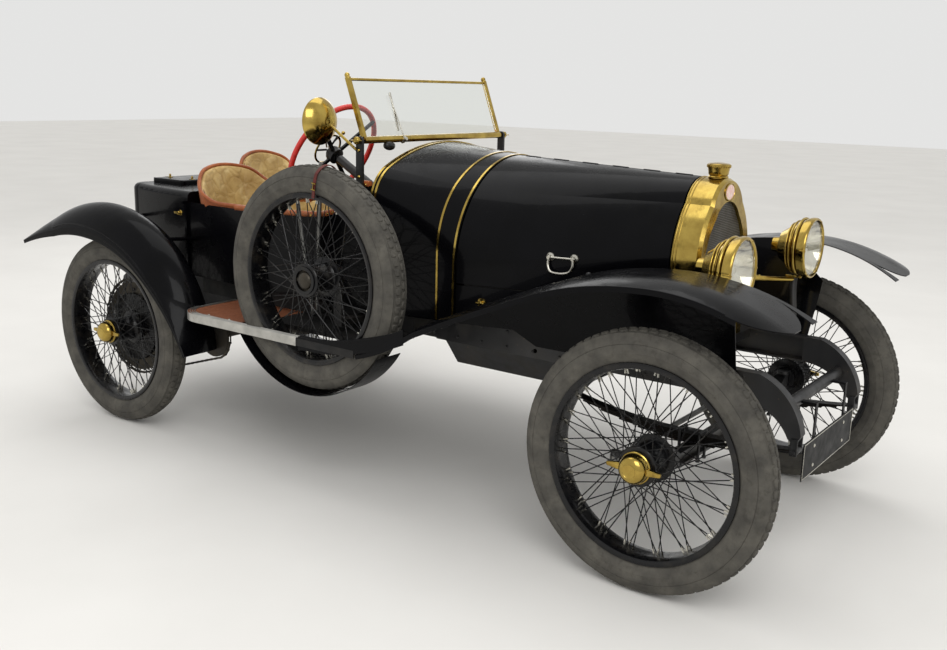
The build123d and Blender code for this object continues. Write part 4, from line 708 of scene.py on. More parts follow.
# Rear drum with its toothed ring, inboard of the wheel
DRUM_PROFILE = (
    (38.6, -54), (50, -54), (56, -62), (146, -63), (150, -66), (150.5, -76), (148.5, -78), (148.5, -86),
    (150.5, -88), (150, -98), (146, -100), (143, -100), (143, -70), (50, -69), (38.6, -69), (38.6, -54),
)
SPROCKET_Z = (545 - 625)
TOOTH_COUNT = 41
SPROCKET_PROFILE = (
    (142, SPROCKET_Z + 4), (150, SPROCKET_Z + 4), (188, SPROCKET_Z + 4), (197, SPROCKET_Z + 3),
    (198, SPROCKET_Z), (197, SPROCKET_Z - 3), (188, SPROCKET_Z - 4), (150, SPROCKET_Z - 4),
    (142, SPROCKET_Z - 4), (142, SPROCKET_Z + 4),
)


def tooth(radius, height, thickness, z):
    """One pointed sprocket tooth that stands out from a ring."""
    low = (radius - 3 * MM, -4.6 * MM, z - thickness)
    high = (radius + height, 4.6 * MM, z + thickness)
    piece = block(low, high, 1.2 * MM, 1)
    return reshaped(piece, lambda place: place.x > radius + height / 2, scale=(1, 0.42, 1))


def drum_shape():
    """Brake drum and toothed ring with lightening holes drawn as raised bosses."""
    drum = turned(DRUM_PROFILE, steps=64)
    ring = turned(SPROCKET_PROFILE, steps=82)
    teeth = round_copies(tooth(197 * MM, 6.2 * MM, 3 * MM, SPROCKET_Z * MM), TOOTH_COUNT, 0)
    boss_x = 166 * MM
    boss = bar((boss_x, 0, (SPROCKET_Z - 9) * MM), (boss_x, 0, (SPROCKET_Z + 9) * MM), 8 * MM, 6, 1.4 * MM)
    return joined([drum, round_copies(boss, 8)]), joined([ring, teeth])


# Hub caps: brass dome with two lugs to turn it by
CAP_PROFILE = (
    (38, 59.8), (49, 59.8), (50, 61.5), (50, 66), (48.5, 68), (46.6, 69), (46.2, 74), (45, 82), (42, 90),
    (37, 97), (30, 102.4), (21, 105), (20, 104.2), (10, 105.3), (0, 105.6),
)


def cap_shape():
    """Hub cap with its axle along Z."""
    parts = [turned(CAP_PROFILE, steps=56, angle=30)]
    for side in (1, -1):
        inner, outer = sorted((40 * side * MM, 88 * side * MM))
        lug = block((inner, -12 * MM, 69 * MM), (outer, 12 * MM, 83 * MM), 4.5 * MM, 3)
        reshaped(lug, lambda place: abs(place.x) > 64 * MM, scale=(1, 0.55, 0.8), centre=(0, 0, 74 * MM))
        parts.append(lug)
    return joined(parts)


def dress_wheels():
    """Puts tyres, wire wheels, drums and caps on the four corners and on the carrier."""
    tyre = tyre_shape()
    wheel, nipples = wheel_shapes()
    drum, ring = drum_shape()
    cap = cap_shape()
    places = [(f"{name}_wheel", f"_{name}", (x, side * Y_WHEEL, Z_AXLE), side) for name, x, side in CORNERS]
    places.append(("chassis", "", SPARE_PLACE, -1))
    for body, suffix, place, side in places:
        stand = wheel_place(place, side)
        start = suffix[1:] or "spare"
        node = "wheel" + suffix if suffix else "spare_wheel"
        casing = "tyre" + suffix if suffix else "spare_tyre"
        fitted(copied(tyre, stand), start + "_treaded_tyre", body, rubber, [casing])
        fitted(copied(wheel, stand), start + "_spoked_rim", body, wheel_black, [node])
        fitted(copied(nipples, stand), start + "_nipples", body, bright_nickel)
        if suffix:
            fitted(copied(cap, stand), start + "_lugged_cap", body, brass, ["hub_cap" + suffix])
        if "rear" in suffix:
            fitted(copied(drum, stand), start + "_brake_drum", body, wheel_black)
            fitted(copied(ring, stand), start + "_chain_ring", body, chain_steel)
    for piece in (tyre, wheel, nipples, drum, ring, cap):
        bpy.data.objects.remove(piece)


dress_wheels()


# Chains: links set along the loop round both sprockets
LINK_COUNT = 64
PLATE_HALF_HEIGHT = 6.3 * MM
ROLLER_RADIUS = 4.8 * MM


def chain_place(share):
    """Point in X and Z, and angle, at a share of the way round the chain's loop."""
    rear = Vector((X_REAR, Z_AXLE))
    front = Vector(COUNTERSHAFT)
    run = front - rear
    base = atan2(run.y, run.x)
    spread = acos((CHAIN_REAR_RADIUS - CHAIN_FRONT_RADIUS) / run.length)
    straight = sqrt(run.length ** 2 - (CHAIN_REAR_RADIUS - CHAIN_FRONT_RADIUS) ** 2)
    parts = (straight, 2 * spread * CHAIN_FRONT_RADIUS, straight, 2 * (pi - spread) * CHAIN_REAR_RADIUS)
    distance = share * sum(parts)
    stretch = 0
    while stretch < 3 and distance >= parts[stretch]:
        distance -= parts[stretch]
        stretch += 1
    if stretch in (1, 3):
        centre, radius = ((front, CHAIN_FRONT_RADIUS), (rear, CHAIN_REAR_RADIUS))[stretch // 2]
        angle = base + (spread if stretch == 1 else -spread) - distance / radius
        return centre + Vector((cos(angle), sin(angle))) * radius, angle - pi / 2
    angle = base + (spread if stretch == 0 else -spread)
    normal = Vector((cos(angle), sin(angle)))
    start, end = rear + normal * CHAIN_REAR_RADIUS, front + normal * CHAIN_FRONT_RADIUS
    if stretch == 2:
        start, end = end, start
    return start + (end - start) * (distance / parts[stretch]), angle - pi / 2


def link_shape(reach):
    """Two plates and a roller, along X, with the plates a distance out from the middle."""
    half = 21 * MM
    parts = []
    for side in (1, -1):
        low, high = sorted((side * reach, side * (reach + 2 * MM)))
        plate = block((-half, low, -PLATE_HALF_HEIGHT), (half, high, PLATE_HALF_HEIGHT), 0.7 * MM, 1)
        reshaped(plate, lambda place: abs(place.x) > 15 * MM, scale=(0.94, 1, 0.62))
        parts.append(plate)
    pin = half - 6 * MM
    parts.append(bar((pin, -reach - 3 * MM, 0), (pin, reach + 3 * MM, 0), ROLLER_RADIUS, 8))
    return joined(parts)


def dress_chains():
    """Lays the links of both chains and stands them for the plain bands."""
    shapes = [link_shape(4.6 * MM), link_shape(2.3 * MM)]
    for side_name, side in SIDES:
        links = []
        for index in range(LINK_COUNT):
            (x, z), angle = chain_place((index + 0.5) / LINK_COUNT)
            stand = Matrix.Translation((x, side * CHAIN_Y, z)) @ Matrix.Rotation(-angle, 4, "Y")
            links.append(copied(shapes[index % 2], stand))
        fitted(joined(links), side_name + "_roller_chain", "chassis", chain_steel)
    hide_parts("drive_chains")
    for piece in shapes:
        bpy.data.objects.remove(piece)


dress_chains()


# Places on the solids
def on_skin(node, x, z, side):
    """Outer point of a node on one side of the car, at a station and a height."""
    found, place, _, _ = nodes[node].ray_cast(Vector((x, side * 1.2, z)), Vector((0, -side, 0)))
    assert found, (node, x, z)
    return place


def outline_of(node, x, count):
    """Points over the top of a node's skin at a station, from one side to the other."""
    found = []
    for step in range(count + 1):
        angle = radians(-22 + 224 * step / count)
        ray = Vector((0, cos(angle), sin(angle)))
        hit, place, _, _ = nodes[node].ray_cast(Vector((x, 0, 0.93)) + ray, -ray)
        if hit:
            found.append(place)
    return found


def placed(piece, place, direction=(0, 0, 1)):
    """Moves a piece modelled about Z to a place, aimed along a direction."""
    piece.data.transform(aimed(place, direction))
    return piece


def lathed(profile, place, direction=(0, 0, 1), steps=20):
    """Small turned fitting at a place, its axis along a direction."""
    return placed(turned(profile, steps=steps), place, direction)


def drawn_down(points, depth):
    """Sheet that hangs from a row of points."""
    sheet = line_of(points)
    bpy.ops.object.mode_set(mode="EDIT")
    bpy.ops.mesh.select_all(action="SELECT")
    bpy.ops.mesh.extrude_edges_move(TRANSFORM_OT_translate={"value": Vector((0, 0, -depth))})
    bpy.ops.object.mode_set(mode="OBJECT")
    return cleaned(sheet)


# Seats: flared tubs with a lining, a rolled rim and a cushion
# Columns: name, middle across, half width, back and arm front behind the axle, rim's top, rim's corner
SEATS = (
    ("driver", -206, 192, 2305, 1780, 1117, 1062),
    ("passenger", 196, 178, 2510, 1990, 1150, 1080),
)
ARM_TOP = 978
SHOULDER_SHARE = 0.75
RIM_ROLL = 8.5
FLARE_SIDE = 24
FLARE_BACK = 42
RIM_FALL = 190
CUSHION_LOW = 742
CUSHION_TOP = 812
WALL_HOLLOW = 6
FLUTE = 70 * MM
CLOTH_FRAMES = 20


def rim_height(run, across, top, corner):
    """Height of a seat's rim: arched over the back, falling fast to the arms."""
    share = min(max((run - 34) / RIM_FALL, 0), 1)
    arch = top - (top - corner) * across ** 2
    return ARM_TOP + (arch - ARM_TOP) * (1 - share) ** 1.5


def seat_plan(seat, spread, lean, count=20):
    """Plan of a seat's wall, from one arm round the back to the other, grown sideways and rearwards."""
    seat_y, half, back_behind, arm_behind, top, corner = seat[1:]
    back_x = FRONT_AXLE - back_behind - lean
    arm_x = FRONT_AXLE - arm_behind
    shoulder_x = back_x + SHOULDER_SHARE * half
    reach = half + spread
    plan = [(arm_x - (arm_x - shoulder_x) * step / 8, -reach) for step in range(8)]
    for step in range(count + 1):
        angle = pi * step / count
        plan.append((shoulder_x - (shoulder_x - back_x) * sin(angle), -reach * cos(angle)))
    plan += [(x, -y) for x, y in reversed(plan[:8])]
    return [(x, y, rim_height(x - back_x, y / reach, top, corner)) for x, y in plan]


def seat_rim(seat, inset=0.0, drop=0.0):
    """Points in metres along the middle of a seat's rolled rim."""
    plan = seat_plan(seat, FLARE_SIDE - inset, FLARE_BACK - inset)
    return [Vector((x, seat[1] + y, z - drop)) * MM for x, y, z in plan]


def seat_wall(seat, inset, low, foot_inset, rows):
    """Sheet from a seat's rim down to a narrower foot, in rows."""
    top = seat_rim(seat, inset, 5)
    foot = [Vector((x, seat[1] + y, low)) * MM for x, y, z in seat_plan(seat, -foot_inset, -foot_inset)]
    wall = line_of(top)
    places = range(len(top))
    for row in range(1, rows + 1):
        bpy.ops.object.mode_set(mode="EDIT")
        bpy.ops.mesh.select_mode(type="EDGE")
        if row == 1:
            bpy.ops.mesh.select_all(action="SELECT")
        bpy.ops.mesh.extrude_edges_move(TRANSFORM_OT_translate={"value": Vector((0, 0, -0.001))})
        bpy.ops.object.mode_set(mode="OBJECT")
        share = row / rows
        above = [wall_place(top, foot, share - 1 / rows, place) for place in places]
        for corner in wall.data.vertices:
            if corner.select:
                index = min(places, key=lambda place: (corner.co - above[place]).length)
                corner.co = wall_place(top, foot, share, index)
    return wall


def wall_place(top, foot, share, index):
    """Point of a wall's row: straight from rim to foot, a little hollow in the middle."""
    hollow = 4 * share * (1 - share) * WALL_HOLLOW * MM
    return top[index].lerp(foot[index], share) - Vector((0, 0, hollow))


def puffed(piece, held, voxel_mm, pressure, cap_mm):
    """Blows a pad up as cloth, held along its seams, so that it swells and creases between them."""
    modified(piece, "REMESH", mode="VOXEL", voxel_size=voxel_mm * MM)
    seams = piece.vertex_groups.new(name="seams")
    seams.add([corner.index for corner in piece.data.vertices if held(corner.co)], 1.0, "REPLACE")
    rest = [corner.co.copy() for corner in piece.data.vertices]
    cloth = piece.modifiers.new("Cloth", "CLOTH")
    cloth.settings.quality = 5
    cloth.settings.mass = 0.3
    cloth.settings.tension_stiffness = 12
    cloth.settings.compression_stiffness = 12
    cloth.settings.bending_stiffness = 0.4
    cloth.settings.use_pressure = True
    cloth.settings.uniform_pressure_force = pressure
    cloth.settings.effector_weights.gravity = 0
    cloth.settings.vertex_group_mass = "seams"
    cloth.point_cache.frame_start = 1
    cloth.point_cache.frame_end = CLOTH_FRAMES
    for step in range(1, CLOTH_FRAMES + 1):
        bpy.context.scene.frame_set(step)
        bpy.context.view_layer.update()
    alone(piece)
    bpy.ops.object.modifier_apply(modifier=cloth.name)
    bpy.context.scene.frame_set(1)
    for corner, start in zip(piece.data.vertices, rest):
        shift = corner.co - start
        if shift.length > cap_mm * MM:
            corner.co = start + shift.normalized() * cap_mm * MM
    modified(piece, "SUBSURF", levels=1)
    return soften(piece, 60)


def seat_lining(seat):
    """Padded inner wall of a seat, from below the cushion's top to the rim."""
    wall = seat_wall(seat, 7, CUSHION_TOP - 30, 20, 3)
    modified(wall, "SOLIDIFY", thickness=22 * MM, offset=0)
    modified(wall, "BEVEL", width=5 * MM, segments=2, limit_method="ANGLE")
    seat_y, half = seat[1] * MM, seat[2]
    centre_x = at(seat[3]) + SHOULDER_SHARE * half * MM

    def on_seam(place):
        """Seams fan out from the middle of the seat, and run along the wall's foot."""
        if place.x > centre_x:
            across = abs((place.x - centre_x + 0.03) % 0.105 - 0.03) < 0.004
        else:
            turn = degrees(atan2(place.y - seat_y, centre_x - place.x))
            across = abs((turn + 104) % 30 - 14) < 1.4
        return across or place.z < (CUSHION_TOP - 18) * MM

    return puffed(wall, on_seam, 6, 5.0, 18)


def seat_cushion(seat):
    """Fluted seat cushion on the floor of the tub."""
    seat_y, half, back_behind = seat[1:4]
    inner = half - 50
    rear = at(back_behind) + 52 * MM
    front = at(back_behind) + 470 * MM
    low = (rear, (seat_y - inner) * MM, CUSHION_LOW * MM)
    high = (front, (seat_y + inner) * MM, CUSHION_TOP * MM)
    pad = block(low, high, 20 * MM, 3)
    reshaped(pad, lambda place: place.x < rear + 0.03, scale=(1, 0.62, 1), centre=(0, seat_y * MM, 0))

    def on_seam(place):
        """Seams run fore and aft, and round the foot."""
        across = (place.y - seat_y * MM + FLUTE / 2) % FLUTE - FLUTE / 2
        return abs(across) < 0.004 or place.z < (CUSHION_LOW + 12) * MM

    return puffed(pad, on_seam, 6, 5.0, 16)


def dress_seats():
    """Replaces the plain seats by a lining, a back, a rolled rim and a cushion each."""
    piping = []
    for index, seat in enumerate(SEATS):
        name = seat[0]
        lining = seat_lining(seat)
        cushion = seat_cushion(seat)
        stands_for = ["seats"] if index == 0 else ()
        fitted(lining, name + "_seat_lining", "chassis", gold_hide, stands_for)
        fitted(cushion, name + "_seat_cushion", "chassis", gold_hide)
        path = smooth_line(seat_rim(seat), 120)
        roll = tube(path, RIM_ROLL * MM, rounds=4)
        roll = joined([roll] + [placed(ball(RIM_ROLL * 0.99), place) for place in (path[0], path[-1])])
        fitted(roll, name + "_seat_rolled_rim", "chassis", tan_hide)
        back = seat_wall(seat, -4, 700, 2, 4)
        modified(back, "SOLIDIFY", thickness=3 * MM, offset=0)
        fitted(soften(back, 60), name + "_seat_back", "chassis", tan_hide)
        seam = smooth_line(seat_rim(seat, RIM_ROLL + 3, 9), 100)
        piping.append(tube(seam, 2.2 * MM, rounds=2))
    fitted(joined(piping), "seat_piping", "chassis", strap_hide)


def ball(radius):
    """Turned ball with a radius in millimetres."""
    round_part = [(radius * cos(radians(step)), radius * sin(radians(step))) for step in range(-75, 90, 15)]
    return turned([(0, -radius)] + round_part + [(0, radius)], steps=20)


# Cockpit's edge: stations behind the axle, half width and height
COCKPIT_EDGE = (
    (1262, 440, 1122), (1300, 441, 1122), (1322, 442, 1112), (1352, 443, 1068), (1385, 444, 1034),
    (1440, 445, 1006), (1545, 446, 986), (1780, 446, 978), (2000, 438, 972),
)
LEFT_EDGE_END = (2210, 423, 972)
EDGE_ROLL = 12
NAIL_PROFILE = ((0, 2.4), (3, 2.0), (4.4, 0.6), (4.6, 0), (0, 0))


def dress_cockpit_edge():
    """Rolled hide along the cockpit's sides, pinned with brass nails."""
    rolls = []
    nails = []
    for side, stations in ((-1, COCKPIT_EDGE), (1, COCKPIT_EDGE + (LEFT_EDGE_END,))):
        places = [(at(behind), side * (half - 7) * MM, (z + 2) * MM) for behind, half, z in stations]
        path = smooth_line(places, 90)
        rolls.append(tube(path, EDGE_ROLL * MM, rounds=4))
        for place in path[4:-3:4]:
            spot = place + Vector((0, side * (EDGE_ROLL - 0.8) * MM, -3 * MM))
            nails.append(lathed(NAIL_PROFILE, spot, (0, side, -0.25), 10))
    fitted(joined(rolls), "cockpit_edge_roll", "chassis", tan_hide)
    fitted(joined(nails), "cockpit_edge_nails", "chassis", brass)


dress_seats()
dress_cockpit_edge()


# Headlamps: reflector, bulb, bezel screws, and the forks that carry them
REFLECTOR_PROFILE = (
    (94.5, -1), (90, -12), (80, -30), (66, -50), (48, -68), (28, -80), (13, -84), (13, -87), (30, -83),
    (50, -71), (69, -52), (83, -32), (93, -13), (95.6, -1), (94.5, -1),
)
BEZEL_PROFILE = (
    (94.8, 8.2), (97, 11), (100.5, 12.4), (104.4, 11.4), (106.6, 8.4), (107, 4), (106.8, -4), (105.2, -4.4),
    (105.2, 7.8), (94.8, 8.2),
)
FORK_RING_RADIUS = 100.4
FORK_SETBACK = 30
POST_FOOT = 296 * MM
BULB_PROFILE = ((0, 18), (8, 16), (13, 9), (14, 2), (11, -6), (7, -12), (7, -18), (0, -18))
FOOT_PROFILE = ((0, 10), (14, 10), (20, 7), (23, 0), (23, -5), (0, -5))


def lamp_trim(side, front, low):
    """Brass of one headlamp: bezel with screws, hinge and catch, fork rings, saddle and arm."""
    bezel = turned(BEZEL_PROFILE, steps=72)
    screw = bar((101.5 * MM, 0, 10 * MM), (101.5 * MM, 0, 13.6 * MM), 2.8 * MM, 8, 0.6 * MM)
    hinge = block((-9 * MM, 104 * MM, -13 * MM), (9 * MM, 112 * MM, 9 * MM), 2 * MM)
    catch = block((-6 * MM, -112 * MM, -12 * MM), (6 * MM, -104 * MM, 10 * MM), 2 * MM)
    parts = [placed(joined([bezel, round_copies(screw, 6, pi / 6), hinge, catch]), front, AHEAD)]
    for setback, radius, thick in ((FORK_SETBACK, FORK_RING_RADIUS, 5.6), (50, 91, 3.6), (64, 82, 3.6)):
        turns = [radians(step) for step in range(0, 361, 30)]
        section = [(radius + thick * cos(turn), thick * sin(turn)) for turn in turns]
        parts.append(lathed(section, front - Vector((setback * MM, 0, 0)), AHEAD, 64))
    parts.append(block((LAMP_FRONT - 78 * MM, side * LAMP_Y - 14 * MM, low - 10 * MM),
                       (LAMP_FRONT - 22 * MM, side * LAMP_Y + 14 * MM, low - 1 * MM), 3 * MM))
    parts.append(tube(smooth_line([
        (LAMP_FRONT - 50 * MM, side * (LAMP_Y - 6 * MM), low - 16 * MM),
        (LAMP_FRONT - 90 * MM, side * (LAMP_Y - 40 * MM), low - 16 * MM),
        (at(40), side * 226 * MM, low - 14 * MM),
        (at(90), side * 196 * MM, low - 14 * MM),
    ], 14), 9 * MM, rounds=4))
    along = Vector((0.7, side * 0.72, 0)) * 2 * MM
    for y in range(205, 250, 8):
        centre = Vector((at(40) + (y - 226) * 0.95 * MM, side * y * MM, low - 14 * MM))
        parts.append(bar(centre - along, centre + along, 11.5 * MM, 16, 1 * MM))
    return joined(parts)


def lamp_post(side, low):
    """Black post and foot that carry one headlamp."""
    post = tube(smooth_line([
        (LAMP_FRONT - 30 * MM, side * POST_FOOT, 0.652),
        (LAMP_FRONT - 34 * MM, side * (POST_FOOT + 4 * MM), 0.72),
        (LAMP_FRONT - 46 * MM, side * (POST_FOOT + 16 * MM), 0.80),
        (LAMP_FRONT - 50 * MM, side * LAMP_Y, low - 8 * MM),
    ], 16), 12.5 * MM, rounds=4)
    return joined([post, lathed(FOOT_PROFILE, (LAMP_FRONT - 30 * MM, side * POST_FOOT, 0.656), steps=28)])


def dress_lamps():
    """Dresses both headlamps and replaces their plain forks."""
    low = LAMP_Z - FORK_RING_RADIUS * MM
    for side_name, side in SIDES:
        front = Vector((LAMP_FRONT, side * LAMP_Y, LAMP_Z))
        dish = lathed(REFLECTOR_PROFILE, front, AHEAD, 56)
        fitted(dish, side_name + "_lamp_reflector", "chassis", silver)
        fitted(lamp_trim(side, front, low), side_name + "_lamp_rims", "chassis", brass)
        holder = bar(front + Vector((-84 * MM, 0, 0)), front + Vector((-52 * MM, 0, 0)), 10 * MM, 16, 1 * MM)
        fitted(holder, side_name + "_lamp_bulb_holder", "chassis", brass)
        bulb = lathed(BULB_PROFILE, front + Vector((-36 * MM, 0, 0)), AHEAD)
        fitted(bulb, side_name + "_lamp_bulb", "chassis", lamp_glass)
        stands_for = ["lamp_brackets"] if side == 1 else ()
        fitted(lamp_post(side, low), side_name + "_lamp_post", "chassis", enamel, stands_for)


dress_lamps()


# Radiator: filler cap, bare badge and the bead round the core
CORE_BEHIND = 57
CAP_TOP_PROFILE = (
    (26.4, 1212), (30, 1213), (33.6, 1218), (34.6, 1228), (37.5, 1240), (39, 1246), (38.4, 1250),
    (34, 1252.6), (24, 1254), (12, 1255.6), (0, 1256.4),
)
NECK_PROFILE = ((26.2, 1206), (33, 1206), (34, 1209), (31, 1213), (26.4, 1215), (26.2, 1206))
BADGE_Z = 1161 * MM
BADGE_WIDENED = 1.45
BADGE_RIM_PROFILE = ((25, 2.6), (28, 3.6), (30, 2.4), (30, -0.2), (24, -0.2), (25, 2.6))
BADGE_FIELD_PROFILE = ((0, 2.2), (18, 2.0), (24.8, 1.2), (24.8, -0.2), (0, -0.2))


def dress_radiator():
    """Ribbed filler cap, neck ring, blank oval badge and core bead."""
    rib = block((34 * MM, -1.7 * MM, 1.2395), (40 * MM, 1.7 * MM, 1.2485), 1.0 * MM, 1)
    cap = joined([turned(CAP_TOP_PROFILE, steps=48, angle=30), round_copies(rib, 26),
                  turned(NECK_PROFILE, steps=40)])
    cap.data.transform(Matrix.Translation((at(CORE_BEHIND + 45), 0, 0)))
    fitted(cap, "radiator_filler_cap", "chassis", brass)
    rim = turned(BADGE_RIM_PROFILE, steps=56)
    field = turned(BADGE_FIELD_PROFILE, steps=56)
    stand = Matrix.Translation((at(CORE_BEHIND) + 0.3 * MM, 0, BADGE_Z)) @ Matrix.Rotation(pi / 2, 4, "Y")
    for piece, name, look in ((rim, "badge_rim", brass), (field, "bare_badge_field", badge_rose)):
        piece.data.transform(Matrix.Scale(BADGE_WIDENED, 4, (0, 1, 0)))
        piece.data.transform(stand)
        fitted(piece, name, "chassis", look)
    beads = [tube(outline_of("radiator_shell", at(behind), 64), radius * MM, rounds=2)
             for behind, radius in ((153, 2.6), (142, 2.0))]
    fitted(joined(beads), "radiator_edge_beads", "chassis", brass)


dress_radiator()


# Bonnet: handles, catches and the felt behind the gaps
HANDLE_Z = 0.921
CATCH_Z = 0.735
LUG_PROFILE = ((0, 18), (6, 18), (8, 14), (8.5, 6), (15, 3.4), (16, 0), (16, -3), (0, -3))
CATCH_PROFILE = ((0, 16), (6, 15), (8, 11), (7, 7), (7, 4), (16, 3), (17, 0), (17, -4), (0, -4))


def bonnet_handle(side, body_node):
    """Nickel drop handle on two lugs, hanging a little way off the bonnet's side."""
    front, rear = [on_skin(body_node, at(behind), HANDLE_Z, side) for behind in (475, 558)]
    bends = [
        (front, 0, 12, 0), (front, 1, 15, -26), (front, -12, 18, -47), ((front + rear) / 2, 0, 19, -53),
        (rear, 12, 18, -47), (rear, -1, 15, -26), (rear, 0, 12, 0),
    ]
    drop = [spot + Vector((x, side * out, z)) * MM for spot, x, out, z in bends]
    inset = Vector((8 * MM, 0, 0))
    parts = [
        tube(smooth_line(drop, 36), 5.2 * MM, rounds=3),
        bar(drop[0] + inset, drop[-1] - inset, 4 * MM, 12, 1 * MM),
    ]
    return joined(parts + [lathed(LUG_PROFILE, end, (0, side, 0), 24) for end in (front, rear)])


def bonnet_catch(side, behind):
    """Brass turn catch on the sill below the bonnet's edge."""
    place = on_skin("bonnet_sills", at(behind), CATCH_Z, side)
    stud = lathed(CATCH_PROFILE, place, (0, side, 0), 24)
    wing_piece = block((-18 * MM, -5 * MM, 9 * MM), (18 * MM, 5 * MM, 14 * MM), 2 * MM)
    reshaped(wing_piece, lambda spot: abs(spot.x) > 10 * MM, scale=(1, 0.6, 1))
    return joined([stud, placed(wing_piece, place, (0, side, 0))])


def bonnet_felt(side):
    """Dark felt roll behind the gap between a bonnet half and its sill."""
    skin = [on_skin("bonnet_sills", at(170 + 700 * step / 16), 0.784, side) for step in range(17)]
    return tube([place + Vector((0, -side * 10 * MM, 9 * MM)) for place in skin], 5 * MM, rounds=3)


def dress_bonnet():
    """Handles on both halves, two catches below each, and the felt that each half shuts against."""
    for side_name, side in SIDES:
        handle = bonnet_handle(side, "bonnet_" + side_name)
        fitted(handle, side_name + "_bonnet_handle", side_name + "_bonnet", bright_nickel)
        catches = [bonnet_catch(side, behind) for behind in (330, 800)]
        fitted(joined(catches), side_name + "_bonnet_catches", "chassis", brass)
        fitted(bonnet_felt(side), side_name + "_bonnet_felt", "chassis", black_felt)


dress_bonnet()


# Running boards: bright edge strips, ribbed borders, and the lip outside the spare wheel
BOARD_Z = 583 * MM
BOARD_REAR = 2026
BOARD_OUTER = 731
BOARD_CORNER = (115, 90)
SCREW_PROFILE = ((0, 2.4), (3, 2.0), (5, 0.4), (5, -1), (0, -1))
LIP_Y = 729.2
LIP_POINTS = (
    (1345, 586), (1322, 592), (1223, 596), (1150, 604), (1089, 618), (1020, 634), (952, 653), (900, 670),
    (852, 690),
)
PAN_HALF_TURN = 57


def board_edge(first, side):
    """Points in metres round a board's outer edge and rear corner, at the board's top."""
    along, across = BOARD_CORNER
    points = [(first, BOARD_OUTER), (first + 200, BOARD_OUTER), (BOARD_REAR - along - 60, BOARD_OUTER)]
    for step in range(9):
        angle = radians(90 - step * 11.25)
        points.append((BOARD_REAR - along + along * cos(angle), BOARD_OUTER - across + across * sin(angle)))
    points += [(BOARD_REAR, 520), (BOARD_REAR, 425)]
    return [Vector((at(behind), side * y * MM, BOARD_Z)) for behind, y in points]


def edging(points, height, thickness):
    """Upright strip that hangs from a row of points, with a rolled top."""
    strip = drawn_down(points, height)
    modified(strip, "SOLIDIFY", thickness=thickness, offset=0)
    modified(strip, "BEVEL", width=thickness * 0.3, segments=1, limit_method="ANGLE")
    return soften(strip)


def dress_boards():
    """Bright edging, border ribs and step screws of both boards."""
    for side_name, side, first in (("right", -1, 1356), ("left", 1, 1080)):
        outline = board_edge(first, side)
        shift = Vector((0, 0, 3 * MM)) - Vector((0, side * 0.6 * MM, 0))
        parts = [edging([place + shift for place in outline], 33 * MM, 2.6 * MM)]
        for inset in (9, 17, 25):
            step_in = Vector((0.6 * inset * MM, -side * inset * MM, 1.0 * MM))
            run = [place + step_in for place in outline[:-2]]
            run.append(Vector((at(BOARD_REAR - 0.6 * inset), side * 430 * MM, BOARD_Z + 1 * MM)))
            parts.append(tube(run, 2.4 * MM, rounds=1))
        fitted(joined(parts), side_name + "_board_edging", "chassis", aluminium)
        screws = [lathed(SCREW_PROFILE, (at(behind), side * 693 * MM, BOARD_Z + 1 * MM), steps=12)
                  for behind in range(first + 40, 1900, 120)]
        fitted(joined(screws), side_name + "_board_screws", "chassis", bright_nickel)


def dress_spare_well():
    """Black lip that stands outside the spare wheel's foot with its rolled top edge, and the pan below."""
    path = smooth_line([(at(behind), -LIP_Y * MM, z * MM) for behind, z in LIP_POINTS], 48)
    lip = modified(drawn_down(path, 50 * MM), "SOLIDIFY", thickness=2.4 * MM, offset=0)
    bead = tube([place + Vector((0, 1.2 * MM, 0)) for place in path], 3.6 * MM, rounds=2)
    fitted(joined([soften(lip), bead]), "spare_well_lip", "chassis", lacquer)
    pan = []
    centre = Vector(SPARE_PLACE)
    reach = Z_AXLE + 9 * MM
    for step in range(31):
        angle = radians(-90 - PAN_HALF_TURN + 2 * PAN_HALF_TURN * step / 30)
        pan.append(Vector((centre.x + reach * cos(angle), -727 * MM, centre.z + reach * sin(angle))))
    shell = band(pan, (0, 126 * MM, 0), (0, 0, -2.4 * MM))
    fitted(shell, "spare_well_pan", "chassis", lacquer)


# Black sheets below the body's side, between the board and the rear wheel, that stand in for the shade in the
# gap there
SHADE_SHEET_Y = 401 * MM
SHADE_SHEET_LOW = 528 * MM
# Columns: rear and front station, top
SHADE_SHEET_PLACES = ((2262, 2040, 0.579), (2335, 2261, 0.649))


def dress_gap_shade_sheets():
    """Thin black sheets that close the gap under the body behind the boards, filling it with painted shade.
    """
    for side_name, side in SIDES:
        low_y, high_y = side * SHADE_SHEET_Y - 1.5 * MM, side * SHADE_SHEET_Y + 1.5 * MM
        # painted shade: these black sheets stand where the gap under the body shows only shade
        sheets = [block((at(rear), low_y, SHADE_SHEET_LOW), (at(front), high_y, top), 0.8 * MM, 1)
                  for rear, front, top in SHADE_SHEET_PLACES]
        fitted(joined(sheets), side_name + "_rear_apron", "chassis", japan_black)


# Wings: a rolled bead under the edge of each wing, and bolts beside the bonnet
WING_BOLT_PROFILE = ((0, 5), (5, 4.6), (8, 2.2), (8.6, 0), (8.6, -1), (0, -1))


def dropped_on(node, behind, y):
    """Hit, place and normal of a ray let down on a node at a station and a distance across."""
    return nodes[node].ray_cast(Vector((at(behind), y * MM, 1.4)), Vector((0, 0, -1)))[:3]


def edge_run(node, side, stations, y, count):
    """Points on a node's upper skin along its outer edge."""
    found = []
    for step in range(count + 1):
        behind = stations[0] + (stations[1] - stations[0]) * step / count
        hit, place = dropped_on(node, behind, side * y)[:2]
        if hit and place.z > 0.5:
            found.append(place)
    return found


